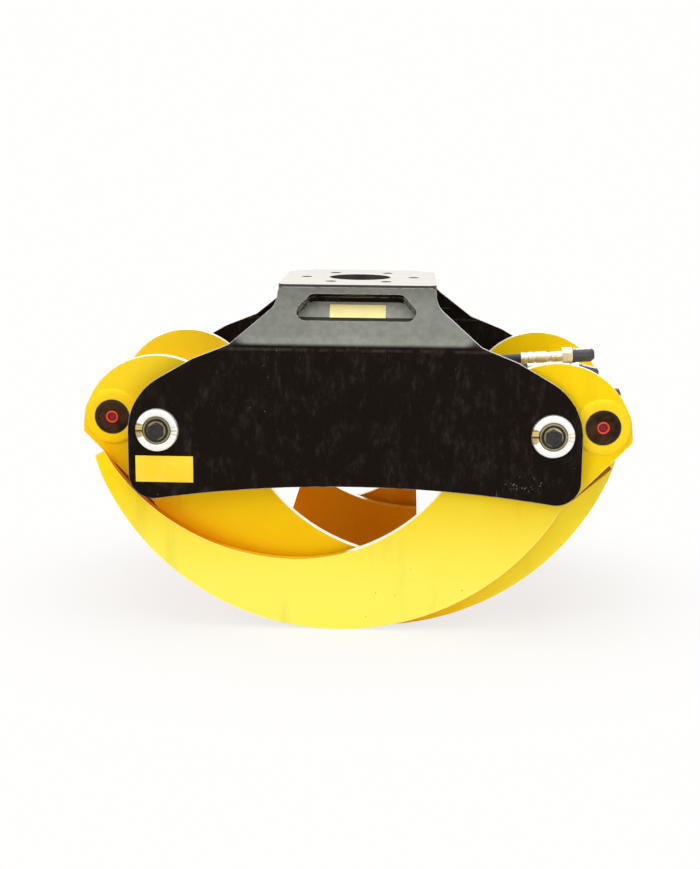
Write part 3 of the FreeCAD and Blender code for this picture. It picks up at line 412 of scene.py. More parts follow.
@dataclass(frozen=True)
class YellowPaint(Finish):
    """Glossy machine yellow over thick plate, chipped at the edges, with painted light, highlights and shade."""

    name: str = "yellow_paint"
    colour: Colour = (1.0, 0.62, 0.003)
    warm: Colour = (1.0, 0.54, 0.0015)
    pale: Colour = (1.0, 0.96, 0.80)
    grime: Colour = (0.10, 0.045, 0.012)
    lit_colour: Colour = (1.0, 0.84, 0.050)
    shaded: Colour = (0.97, 0.325, 0.002)
    floor_bounce: float = 0.0
    rimmed: float = 0.7
    edged: float = 0.75
    glare: Colour = (0.42, 0.40, 0.34)
    crossing: float = 1.0
    shadowed: float = 0.0

    def make(self, graph: Graph) -> bpy.types.Material:
        """Mottles the paint, paints light on parts of it, paints highlights on its edge faces and shade on its inner
        faces, and chips it.
        """
        g = graph
        cloud = g.noise(7.0, 4.0)
        colour = g.mix(cloud.between(0.35, 0.7) * 0.6, self.colour, self.warm)
        # Painted light: with a floor bounce share, the lower parts are painted paler in the lit colour, as if lit by
        # light bounced off the floor.
        if self.floor_bounce:
            height = g.axis(g.place(), "Z") + 0.05 * g.noise(6.0, 3.0)
            colour = g.mix(self.floor_bounce * (1.0 - height.between(0.07, 0.30)), colour, self.lit_colour)
        else:
            # Painted light: otherwise the right side and the top are painted paler in the lit colour, as if better lit.
            right = g.axis(g.place(), "X") + 0.05 * g.noise(6.0, 3.0)
            above = g.axis(g.place(), "Z").between(0.28, 0.40)
            colour = g.mix((right.between(0.12, 0.30) * 0.8 + above * 0.35).clamped(), colour, self.lit_colour)
        streaks = g.noise(30.0, 5.0, g.place((1.0, 1.0, 0.12)))
        across = g.axis(g.normal(), "Y")
        # Painted shade: inward faces low between the plates are painted in the shaded brown.
        inward = (across * g.axis(g.place(), "Y") * 40.0).between(0.0, -1.0)
        enclosed = inward * g.axis(g.place(), "Z").between(0.37, 0.30)
        colour = g.mix(enclosed * (0.90 + 0.10 * streaks.between(0.35, 0.6)), colour, self.shaded)
        colour = g.mix(streaks.between(0.56, 0.8) * 0.12, colour, self.grime)
        edge_face = (1.0 - abs(across)).between(0.35, 0.75)
        facing_up = g.axis(g.normal(), "Z").between(0.1, 0.5)
        # Painted highlight: a line along sharp edges and the edge faces that face up are painted near white, as if
        # catching the sky.
        rim = g.edges(0.0020) * (0.55 + 0.45 * g.noise(85.0, 4.0).between(0.35, 0.6))
        lit = edge_face * facing_up * self.edged
        colour = g.mix((rim * self.rimmed + lit).clamped(), colour, self.pale)
        across_x, rise = g.axis(g.place(), "X"), g.axis(g.place(), "Z")
        side = abs(across_x).between(0.17, 0.23)
        hollow = (g.axis(g.normal(), "X") * across_x * 40.0).between(-0.2, -1.0)
        tip = (self.crossing * across_x).between(0.0, 0.015)
        # Painted shade: edge faces at the claws' sides and tip, below the pivots, are painted shaded brown at the sides
        # and warm yellow elsewhere.
        tucked = edge_face * (side * (facing_up + hollow) + tip * facing_up).clamped() * rise.between(0.335, 0.325) * math.ceil(self.edged)
        colour = g.mix(tucked, colour, g.mix(side, self.warm, self.shaded))
        away = g.node("ShaderNodeVectorMath", {"operation": "LENGTH"}, {0: g.place((1.0, 0.0, 1.0), centre=(-0.092, 0.0, 0.398))}, "Value")
        shadow = away.between(0.262, 0.292) * across_x.between(-0.04, -0.20) * rise.between(0.245, 0.215)
        colour = g.mix(shadow * self.shadowed, colour, self.shaded)
        chips = (g.cells(60.0) < 0.055) * g.noise(4.0, 2.0).between(0.56, 0.66)
        colour = g.mix(chips * 0.9, colour, self.grime)
        rough = 0.34 + 0.12 * streaks + 0.25 * chips - 0.10 * edge_face
        relief = g.bump(g.noise(260.0, 3.0), 0.00022, 0.25)
        relief = g.bump(chips, 0.0003, -0.8, relief)
        return g.surface(
            Base_Color=colour,
            Roughness=rough,
            Coat_Weight=lit * (1.0 - chips) * (1.0 - tucked),
            Coat_Roughness=0.12,
            Specular_IOR_Level=0.06,
            # Painted highlight: up-facing edge faces glow faintly in the glare colour.
            Emission_Color=g.mix(lit / max(self.edged, 0.01) * (1.0 - tucked), (0.0, 0.0, 0.0), self.glare),
            Emission_Strength=1.0,
            Normal=relief,
        )


@dataclass(frozen=True)
class Metal(Finish):
    """Bare or plated metal with stains, fine marks, darker pits, painted edge highlights and, where it has a colour for
    it, a painted reflection underneath.
    """

    name: str
    colour: Colour
    stain: Colour
    rough: float = 0.35
    marks: float = 300.0
    stained: float = 0.5
    metallic: float = 1.0
    sides: Colour | None = None
    below: Colour | None = None
    specular: float = 0.5

    def make(self, graph: Graph) -> bpy.types.Material:
        """Stains the metal in clouds, roughens it along fine marks, paints highlights on its edges and a reflection
        under it if it has one, and paints its sides if they have a colour.
        """
        g = graph
        cloud = g.noise(45.0, 6.0, roughness=0.65)
        fine = g.noise(self.marks, 4.0, g.place((1.0, 0.15, 1.0)))
        colour = g.mix(cloud.between(0.40, 0.68) * self.stained, self.colour, self.stain)
        # Painted highlight: a line along sharp edges is painted lighter than the metal.
        rim = g.edges(0.0008)
        colour = g.mix(rim * 0.35, colour, tuple(min(1.0, 1.25 * c) for c in self.colour))
        pits = (g.cells(420.0) < 0.12) * cloud.between(0.52, 0.7)
        colour = g.mix(pits * 0.5, colour, self.stain)
        rough = self.rough + 0.18 * cloud + 0.10 * fine - 0.10
        relief = g.bump(fine, 0.0001, 0.4)
        relief = g.bump(pits, 0.0002, -0.6, relief)
        # Painted reflection: faces that face down take the below colour, the yellow of the claws under them.
        if self.below:
            colour = g.mix(g.axis(g.normal(), "Z").between(-0.05, -0.35) * (0.4 + 0.6 * cloud), colour, self.below)
        metallic: Signal | float = self.metallic
        if self.sides:
            painted = 1.0 - g.axis(g.normal(), "Z").between(0.4, 0.6)
            colour = g.mix(painted, colour, self.sides)
            metallic = self.metallic * (1.0 - painted)
        return g.surface(
            Base_Color=colour,
            Metallic=metallic,
            Roughness=rough,
            Specular_IOR_Level=self.specular,
            Normal=relief,
        )


@dataclass(frozen=True)
class MirrorSteel(Finish):
    """Bright turned steel round a pivot, with brown and yellow reflections at its left."""

    name: str = "mirror_steel"
    colour: Colour = (0.95, 0.94, 0.90)
    brown: Colour = (0.16, 0.09, 0.015)
    gold: Colour = (0.72, 0.52, 0.12)
    pivot: tuple[float, float] = (0.300, 0.318)

    def make(self, graph: Graph) -> bpy.types.Material:
        """Paints the reflections by their angle round the nearest pivot."""
        g = graph
        x, z = g.axis(g.place(), "X"), g.axis(g.place(), "Z")
        across = x - self.pivot[0] * x.math("SIGN")
        rise = z - self.pivot[1]
        angle = abs(rise.math("ARCTAN2", across))
        ragged = angle + 0.10 * g.noise(120.0, 3.0)
        left = ragged.between(2.74, 2.86)
        band = g.node("ShaderNodeTexNoise", {"noise_dimensions": "1D"}, {"W": rise * 260.0, "Scale": 1.0, "Detail": 3.0})
        colour = g.mix(left * 0.9, self.colour, g.mix(band.between(0.42, 0.58), self.brown, self.gold))
        right = (1.0 - abs(angle - 0.20).between(0.0, 0.07)) * 0.75
        colour = g.mix(right, colour, self.gold)
        fine = g.noise(500.0, 3.0)
        return g.surface(
            Base_Color=colour,
            Metallic=0.55,
            Roughness=0.22 + 0.16 * fine,
            Normal=g.bump(fine, 0.0001, 0.25),
        )


@dataclass(frozen=True)
class Moulding(Finish):
    """Moulded plastic or rubber with a fine grain."""

    name: str
    colour: Colour
    dust: Colour
    rough: float = 0.5
    grain: float = 900.0
    depth: float = 0.00015
    painted_top_sheen: Colour | None = None

    def make(self, graph: Graph) -> bpy.types.Material:
        """Greys the piece in clouds, paints a line along its edges and a highlight on its top if it has one, and grains
        it.
        """
        g = graph
        cloud = g.noise(60.0, 5.0)
        colour = g.mix(cloud.between(0.45, 0.75) * 0.5, self.colour, self.dust)
        # Painted edge line in the second tone; on the dark caps and hoses it is a painted highlight.
        colour = g.mix(g.edges(0.0007) * 0.35, colour, self.dust)
        # Painted highlight: faces that face up take the top sheen colour, as if reflecting the sky.
        if self.painted_top_sheen:
            colour = g.mix(g.axis(g.normal(), "Z").between(0.80, 0.97), colour, self.painted_top_sheen)
        relief = g.bump(g.noise(self.grain, 3.0), self.depth, 0.6)
        return g.surface(Base_Color=colour, Roughness=self.rough + 0.15 * cloud, Normal=relief)


BLACK = BlackPaint()
YELLOW = YellowPaint(glare=(0.60, 0.58, 0.50), shadowed=0.45)
YELLOW_OUTER = YellowPaint("yellow_paint_outer", (1.0, 0.70, 0.004), (1.0, 0.62, 0.002), lit_colour=(1.0, 0.92, 0.125), floor_bounce=1.0, crossing=-1.0)
# Painted reflection: the skin's up-facing faces are painted near white and glow, as if mirroring the white backdrop.
YELLOW_SKIN = YellowPaint("yellow_paint_skin", edged=1.0, pale=(1.0, 0.97, 0.88), rimmed=0.0, glare=(0.80, 0.78, 0.70), crossing=0.0)
YELLOW_BOSS = YellowPaint("yellow_paint_boss", rimmed=0.0, edged=0.0, glare=(0.0, 0.0, 0.0))
OUTER_BOSS = YellowPaint("yellow_paint_outer_boss", (1.0, 0.72, 0.020), (1.0, 0.65, 0.010), floor_bounce=0.3, rimmed=0.0, edged=0.0, glare=(0.0, 0.0, 0.0))
YELLOW_TUBE = YellowPaint("yellow_paint_tube", rimmed=0.3, edged=0.0, glare=(0.0, 0.0, 0.0))
YELLOW_WELD = YellowPaint("yellow_paint_weld", (0.72, 0.40, 0.03), (0.26, 0.13, 0.02), lit_colour=(0.72, 0.45, 0.05), rimmed=0.3, edged=0.0, glare=(0.0, 0.0, 0.0))
# Painted shade: a yellow darkened to brown for the heel flats, which sit in shade.
YELLOW_SHADE = YellowPaint("yellow_paint_shade", (0.30, 0.10, 0.004), (0.22, 0.065, 0.003), lit_colour=(0.34, 0.12, 0.004), rimmed=0.1, edged=0.0, glare=(0.0, 0.0, 0.0))
STICKER = Moulding("plain_sticker", (1.0, 0.68, 0.008), (1.0, 0.76, 0.08), 0.34, 500.0, 0.00003)
PALE_STICKER = Moulding("pale_sticker", (0.96, 0.83, 0.34), (0.90, 0.70, 0.30), 0.35, 500.0, 0.00003)
FLANGE_STEEL = Metal("flange_steel", (0.74, 0.72, 0.66), (0.66, 0.56, 0.46), 0.38, 500.0, 0.35, 0.6, (0.022, 0.019, 0.017))
OLIVE_ZINC = Metal("olive_zinc", (0.33, 0.29, 0.18), (0.16, 0.12, 0.06), 0.34, 400.0, 0.7)
ZINC = Metal("zinc_plate", (0.88, 0.87, 0.80), (0.55, 0.48, 0.28), 0.26, 400.0, 0.40, 0.85, below=(0.86, 0.55, 0.06))
SLEEVE_STEEL = MirrorSteel()
DARK_STEEL = Metal("blackened_steel", (0.032, 0.031, 0.028), (0.012, 0.010, 0.008), 0.34, 500.0, 0.6, 0.6)
GROUND_STEEL = Metal("ground_steel", (0.56, 0.55, 0.53), (0.36, 0.32, 0.28), 0.28, 900.0, 0.4)
RUSTY_STEEL = Metal("rusty_steel", (0.060, 0.026, 0.010), (0.012, 0.005, 0.002), 0.62, 260.0, 0.95, 0.0, specular=0.08)
CHROME = Metal("hard_chrome", (0.86, 0.87, 0.88), (0.66, 0.66, 0.66), 0.12, 1200.0, 0.2)
BRONZE = Metal("bearing_bronze", (0.58, 0.38, 0.16), (0.30, 0.18, 0.08), 0.36, 600.0, 0.5)
RED_PLASTIC = Moulding("red_plastic", (0.74, 0.050, 0.026), (0.60, 0.06, 0.03), 0.36)
DEEP_RED = Moulding("red_plastic_shade", (0.20, 0.004, 0.002), (0.12, 0.004, 0.002), 0.60)
RUBBER = Moulding("hose_rubber", (0.020, 0.019, 0.019), (0.050, 0.047, 0.044), 0.45, 1400.0, 0.0002, (0.16, 0.16, 0.16))
DARK_PLASTIC = Moulding("dark_plastic", (0.040, 0.040, 0.044), (0.095, 0.095, 0.095), 0.34, painted_top_sheen=(0.95, 0.95, 0.93))


class Body(Enum):
    """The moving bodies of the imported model."""

    FRAME = "frame"
    RIGHT_CLAW = "right_claw"
    LEFT_CLAW = "left_claw"
    BARREL = "barrel"
    ROD = "rod"


# ------------------------------------------------------------- modelling tools


Profile = Sequence[tuple[float, float]]
OUTWARD_FRONT = Matrix.Rotation(math.radians(90.0), 4, "X")
OUTWARD_REAR = Matrix.Rotation(math.pi, 4, "Z") @ OUTWARD_FRONT


def active(name: str) -> bpy.types.Object:
    """Names the object that an operator has just made, and its mesh.

    Args:
        name: the new name.

    Returns:
        The object.
    """
    piece = bpy.context.active_object
    piece.name = piece.data.name = name
    return piece


def only(piece: bpy.types.Object) -> None:
    """Selects one object and makes it the active one."""
    bpy.ops.object.select_all(action="DESELECT")
    piece.select_set(True)
    bpy.context.view_layer.objects.active = piece


def finish_mesh(piece: bpy.types.Object, angle: float = 32.0) -> None:
    """Merges doubles, turns faces outwards and smooths all but the sharp edges.

    Args:
        piece: the mesh.
        angle: the sharpest angle in degrees that is smoothed.
    """
    only(piece)
    bpy.ops.object.mode_set(mode="EDIT")
    bpy.ops.mesh.select_all(action="SELECT")
    bpy.ops.mesh.remove_doubles(threshold=1e-6)
    bpy.ops.mesh.normals_make_consistent(inside=False)
    bpy.ops.object.mode_set(mode="OBJECT")
    bpy.ops.object.shade_smooth_by_angle(angle=math.radians(angle))


def turn(name: str, profile: Profile, sides: int = 64) -> bpy.types.Object:
    """Turns a piece about Z: a ring is extruded and resized along the profile.

    A profile that ends where it starts makes a closed ring, and any other one
    gets flat ends.

    Args:
        name: the piece's name.
        profile: radius and height of each ring.
        sides: corners of each ring.

    Returns:
        The piece.
    """
    bpy.ops.object.select_all(action="DESELECT")
    radius, height = profile[0]
    bpy.ops.mesh.primitive_circle_add(vertices=sides, radius=radius, location=(0.0, 0.0, height))
    bpy.ops.object.transform_apply(location=True)
    piece = active(name)
    bpy.ops.object.mode_set(mode="EDIT")
    bpy.ops.mesh.select_all(action="SELECT")
    for wide, high in profile[1:]:
        bpy.ops.mesh.extrude_edges_move(TRANSFORM_OT_translate={"value": (0.0, 0.0, high - height)})
        ratio = wide / radius
        bpy.ops.transform.resize(value=(ratio, ratio, 1.0), center_override=(0.0, 0.0, high))
        radius, height = wide, high
    bpy.ops.mesh.select_all(action="SELECT")
    if tuple(profile[-1]) == tuple(profile[0]):
        bpy.ops.mesh.remove_doubles(threshold=1e-6)
    else:
        bpy.ops.mesh.fill_holes(sides=0)
    bpy.ops.object.mode_set(mode="OBJECT")
    finish_mesh(piece)
    return piece


def carve(piece: bpy.types.Object, tool: bpy.types.Object, operation: str = "DIFFERENCE") -> bpy.types.Object:
    """Cuts one piece with another, which is used up.

    Args:
        piece: the piece that stays.
        tool: the cutter.
        operation: the boolean operation.

    Returns:
        The piece.
    """
    only(piece)
    bpy.ops.object.modifier_add(type="BOOLEAN")
    cut = piece.modifiers[-1]
    cut.operation, cut.object, cut.solver = operation, tool, "EXACT"
    bpy.ops.object.modifier_apply(modifier=cut.name)
    bpy.data.objects.remove(tool)
    finish_mesh(piece)
    return piece


def block(name: str, low: Point, high: Point) -> bpy.types.Object:
    """A box between two corners, as a start or a cutter.

    Args:
        name: its name.
        low: its lowest corner.
        high: its highest corner.

    Returns:
        The box.
    """
    bpy.ops.object.select_all(action="DESELECT")
    middle = tuple((a + b) / 2 for a, b in zip(low, high))
    bpy.ops.mesh.primitive_cube_add(size=1.0, location=middle)
    piece = active(name)
    piece.scale = tuple(b - a for a, b in zip(low, high))
    bpy.ops.object.transform_apply(location=True, scale=True)
    return piece


def soften(piece: bpy.types.Object, width: float, segments: int = 2, angle: float = 30.0) -> None:
    """Bevels every edge that is sharper than an angle.

    Args:
        piece: the mesh.
        width: the bevel's width.
        segments: its number of steps.
        angle: the angle in degrees.
    """
    only(piece)
    bpy.ops.object.modifier_add(type="BEVEL")
    bevel = piece.modifiers[-1]
    bevel.width, bevel.segments = width, segments
    bevel.limit_method, bevel.angle_limit = "ANGLE", math.radians(angle)
    bpy.ops.object.modifier_apply(modifier=bevel.name)
    bpy.ops.object.shade_smooth_by_angle(angle=math.radians(32.0))


def hexagon_head(name: str, across: float, low: float, high: float, chamfer: float = 0.0014) -> bpy.types.Object:
    """A hexagon with its corners turned down, as on a bolt head or nut.

    Args:
        name: the piece's name.
        across: width across flats.
        low: lower face.
        high: upper face.
        chamfer: depth of the turned corners.

    Returns:
        The piece.
    """
    corner = across / math.sqrt(3.0)
    head = turn(name, ((corner, low), (corner, high)), sides=6)
    inner = across / 2 * 0.985
    cone = turn(
        "chamfer_tool",
        (
            (inner, low),
            (corner * 1.02, low + chamfer),
            (corner * 1.02, high - chamfer),
            (inner, high),
        ),
        sides=72,
    )
    return carve(head, cone, "INTERSECT")


def put(piece: bpy.types.Object, matrix: Matrix) -> bpy.types.Object:
    """Moves a piece that was made round Z to its place, within its mesh.

    Args:
        piece: the piece.
        matrix: its place.

    Returns:
        The piece.
    """
    only(piece)
    piece.matrix_world = matrix @ piece.matrix_world
    bpy.ops.object.transform_apply(location=True, rotation=True, scale=True)
    return piece


def repeated(piece: bpy.types.Object, places: Sequence[Matrix]) -> bpy.types.Object:
    """Copies a piece to each place and joins the copies into it.

    Args:
        piece: the piece, made round Z.
        places: where it goes.

    Returns:
        The joined piece.
    """
    copies = []
    for matrix in places[1:]:
        only(piece)
        bpy.ops.object.duplicate()
        copies.append(put(bpy.context.active_object, matrix))
    put(piece, places[0])
    only(piece)
    for copy in copies:
        copy.select_set(True)
    if copies:
        bpy.ops.object.join()
    return piece


def lumpy(piece: bpy.types.Object, depth: float, size: float) -> None:
    """Pushes a surface in and out like cooled weld metal.

    Args:
        piece: the mesh, fine enough to show it.
        depth: how far the surface moves.
        size: the lumps' size.
    """
    texture = bpy.data.textures.new(piece.name, "CLOUDS")
    texture.noise_scale = size
    only(piece)
    bpy.ops.object.modifier_add(type="DISPLACE")
    push = piece.modifiers[-1]
    push.texture, push.strength, push.texture_coords = texture, depth, "LOCAL"
    bpy.ops.object.modifier_apply(modifier=push.name)
    bpy.ops.object.shade_smooth()


def weld_ring(name: str, radius: float, bead: float, place: Matrix) -> bpy.types.Object:
    """A bead round a tube.

    Args:
        name: the bead's name.
        radius: the tube's radius.
        bead: the bead's radius.
        place: the ring's middle, with Z along the tube.

    Returns:
        The bead.
    """
    bpy.ops.object.select_all(action="DESELECT")
    bpy.ops.mesh.primitive_torus_add(
        major_radius=radius, minor_radius=bead, major_segments=int(radius * 2600), minor_segments=8
    )
    piece = put(active(name), place)
    lumpy(piece, bead * 0.5, 0.004)
    return piece


def weld_line(name: str, start: Point, end: Point, bead: float) -> bpy.types.Object:
    """A straight bead.

    Args:
        name: the bead's name.
        start: one end.
        end: the other end.
        bead: the bead's radius.

    Returns:
        The bead.
    """
    run = Vector(end) - Vector(start)
    steps = max(4, int(run.length / 0.0025))
    profile = [(bead * 0.35, 0.0), (bead * 0.85, bead * 0.5)]
    profile += [(bead, run.length * n / steps) for n in range(1, steps)]
    profile += [(bead * 0.85, run.length - bead * 0.5), (bead * 0.35, run.length)]
    piece = turn(name, profile, sides=8)
    put(piece, Matrix.Translation(start) @ run.to_track_quat("Z", "Y").to_matrix().to_4x4())
    lumpy(piece, bead * 0.5, 0.004)
    return piece


def weld_arc(name: str, centre: Point, radius: float, first: float, last: float, bead: float) -> bpy.types.Object:
    """A bead along an arc in a plane across Y.

    Args:
        name: the bead's name.
        centre: the arc's centre.
        radius: the arc's radius.
        first: its start in degrees, from X towards Z.
        last: its end in degrees.
        bead: the bead's radius.

    Returns:
        The bead.
    """
    angle = math.radians(last - first)
    begin = math.radians(first)
    bpy.ops.object.select_all(action="DESELECT")
    bpy.ops.mesh.primitive_circle_add(
        vertices=8,
        radius=bead,
        location=(radius, 0.0, 0.0),
        rotation=(0.0, 0.0, 0.0),
    )
    piece = active(name)
    bpy.ops.object.mode_set(mode="EDIT")
    bpy.ops.mesh.select_all(action="SELECT")
    bpy.ops.mesh.spin(
        steps=max(6, int(abs(angle) * radius / 0.0025)),
        angle=-angle,
        center=(0.0, 0.0, 0.0),
        axis=(0.0, 1.0, 0.0),
    )
    bpy.ops.mesh.select_all(action="SELECT")
    bpy.ops.mesh.remove_doubles(threshold=1e-6)
    bpy.ops.mesh.fill_holes(sides=0)
    bpy.ops.object.mode_set(mode="OBJECT")
    bpy.ops.object.transform_apply(location=True, rotation=True)
    put(piece, Matrix.Translation(centre) @ Matrix.Rotation(-begin, 4, "Y"))
    finish_mesh(piece)
    lumpy(piece, bead * 0.5, 0.004)
    return piece


def joined(name: str, parts: Sequence[bpy.types.Object]) -> bpy.types.Object:
    """Joins parts into one piece.

    Args:
        name: the piece's name.
        parts: what is joined, the first of which stays.

    Returns:
        The piece.
    """
    only(parts[0])
    for part in parts[1:]:
        part.select_set(True)
    if len(parts) > 1:
        bpy.ops.object.join()
    return active(name)


@dataclass
class Workshop:
    """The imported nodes, and how pieces are dressed and handed over."""

    nodes: dict[str, bpy.types.Object]

    def dress(self, finish: Finish, *names: str) -> None:
        """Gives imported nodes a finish, without touching their meshes.

        Args:
            finish: what they wear.
            names: the nodes.
        """
        for name in names:
            node = self.nodes[name]
            for slot in node.material_slots:
                slot.link = "OBJECT"
                slot.material = finish.material()

    def hand_over(self, piece: bpy.types.Object, finish: Finish, body: Body, replaces: Sequence[str] = ()) -> bpy.types.Object:
        """Finishes a new piece.

        Args:
            piece: the mesh or curve, in place.
            finish: what it wears.
            body: the body that it moves with.
            replaces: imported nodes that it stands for.

        Returns:
            The piece.
        """
        piece.data.materials.clear()
        piece.data.materials.append(finish.material())
        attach(piece, body.value)
        if replaces:
            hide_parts(*replaces)
        return piece


# ------------------------------------------------------------------ the camera


@dataclass
class Viewpoint:
    """The photograph's camera."""

    place: Point = (0.0793, -2.3018, 0.7470)
    yaw: float = 0.040649
    pitch: float = 0.202561
    roll: float = 0.008918
    lens: float = 72.846
    sensor: float = 36.0

    def build(self) -> bpy.types.Object:
        """Makes the camera and gives it to the scene.

        Returns:
            The camera.
        """
        camera = bpy.data.objects.new("camera", bpy.data.cameras.new("camera"))
        bpy.context.scene.collection.objects.link(camera)
        camera.data.lens = self.lens
        camera.data.sensor_width = self.sensor
        camera.data.sensor_fit = "HORIZONTAL"
        camera.data.clip_start = 0.05
        ahead = Vector(
            (
                -math.sin(self.yaw) * math.cos(self.pitch),
                math.cos(self.yaw) * math.cos(self.pitch),
                -math.sin(self.pitch),
            )
        )
        right = Vector((math.cos(self.yaw), math.sin(self.yaw), 0.0))
        up = right.cross(ahead)
        side = right * math.cos(self.roll) + up * math.sin(self.roll)
        top = up * math.cos(self.roll) - right * math.sin(self.roll)
        turn = Matrix((side, top, -ahead)).transposed().to_4x4()
        camera.matrix_world = Matrix.Translation(self.place) @ turn
        bpy.context.scene.camera = camera
        return camera


@dataclass
class Studio:
    """A white room with a soft ceiling light and two fills."""

    floor_size: float = 60.0
    floor_colour: Colour = (0.90, 0.87, 0.84)
    shown: float = 0.74
    ambient: float = 0.42

    def build(self) -> None:
        """Lays the floor, lights the room and sets how colours are shown."""
        bpy.context.scene.view_settings.view_transform = "Standard"
        self.lay_floor()
        self.light_world()
        self.hang_lamp("ceiling", (0.1, -0.35, 2.3), (0.0, 0.0, 0.3), (2.6, 1.8), 34.0)
        self.hang_lamp("window", (-1.9, -2.2, 1.7), (0.0, 0.0, 0.3), (1.6, 1.6), 26.0)
        self.hang_lamp("bounce", (1.6, -2.6, 0.6), (0.0, 0.0, 0.25), (2.0, 1.0), 14.0)

    def lay_floor(self) -> None:
        """A pale floor whose shadow shows softly."""
        bpy.ops.object.select_all(action="DESELECT")
        bpy.ops.mesh.primitive_plane_add(size=self.floor_size)
        floor = bpy.context.active_object
        floor.name = "studio_floor"
        g = Graph(bpy.data.materials.new("studio_floor"))
        paper = g.node("ShaderNodeBsdfDiffuse", {}, {"Color": self.floor_colour})
        glow = g.node("ShaderNodeEmission", {}, {"Color": (1.0, 0.995, 0.985), "Strength": 1.0})
        path = self.direct_rays(g)
        spot = g.node("ShaderNodeVectorMath", {"operation": "LENGTH"}, {0: g.place((1.0, 1.25, 1.0))}, "Value")
        share = self.shown + (1.0 - self.shown) * spot.between(0.30, 0.78)
        both = g.node("ShaderNodeMixShader", {}, {0: path * share, 1: paper, 2: glow})
        g.node("ShaderNodeOutputMaterial", {}, {"Surface": both})
        floor.data.materials.append(g.owner)

    def direct_rays(self, graph: Graph) -> Signal:
        """1 for rays that the camera, a mirror or glass sees."""
        kinds = [
            graph.node("ShaderNodeLightPath", output=name)
            for name in ("Is Camera Ray", "Is Glossy Ray", "Is Transmission Ray")
        ]
        return (kinds[0] + kinds[1] + kinds[2]).clamped()

    def light_world(self) -> None:
        """A white surround that lights the object more gently than it looks."""
        world = bpy.data.worlds.new("white_room")
        bpy.context.scene.world = world
        g = Graph(world)
        strength = self.ambient + (1.0 - self.ambient) * self.direct_rays(g)
        sky = g.node("ShaderNodeBackground", {}, {"Color": (1.0, 0.995, 0.985), "Strength": strength})
        g.node("ShaderNodeOutputWorld", {}, {"Surface": sky})

    def hang_lamp(self, name: str, place: Point, target: Point, size: tuple[float, float], power: float) -> None:
        """One soft rectangular lamp.

        Args:
            name: the lamp's name.
            place: its middle.
            target: the point that it faces.
            size: its width and height.
            power: its power in watts.
        """
        lamp = bpy.data.lights.new(name, "AREA")
        lamp.shape = "RECTANGLE"
        lamp.size, lamp.size_y = size
        lamp.energy = power
        holder = bpy.data.objects.new(name, lamp)
        bpy.context.scene.collection.objects.link(holder)
        holder.location = place
        holder.rotation_euler = (Vector(target) - Vector(place)).to_track_quat("-Z", "Y").to_euler()


# ------------------------------------------------------------------- the hoses


@dataclass
class Hose:
    """One hydraulic hose from the port block to its capped end."""

    name: str
    route: tuple[Point, ...]
    radius: float = 0.0075

    def build(self, shop: Workshop) -> bpy.types.Object:
        """Args:
            shop: the workshop.

        Returns:
            The hose.
        """
        curve = bpy.data.curves.new(f"{self.name}_hose_line", "CURVE")
        curve.dimensions = "3D"
        curve.bevel_depth = self.radius
        curve.bevel_resolution = 7
        curve.resolution_u = 24
        curve.use_fill_caps = True
        spline = curve.splines.new("NURBS")
        spline.points.add(len(self.route) - 1)
        for point, corner in zip(spline.points, self.route):
            point.co = (*corner, 1.0)
        spline.order_u = 3
        spline.use_endpoint_u = True
        hose = bpy.data.objects.new(f"{self.name}_hose_line", curve)
        bpy.context.scene.collection.objects.link(hose)
        shop.hand_over(hose, RUBBER, Body.BARREL, [f"{self.name}_hose"])
        return hose


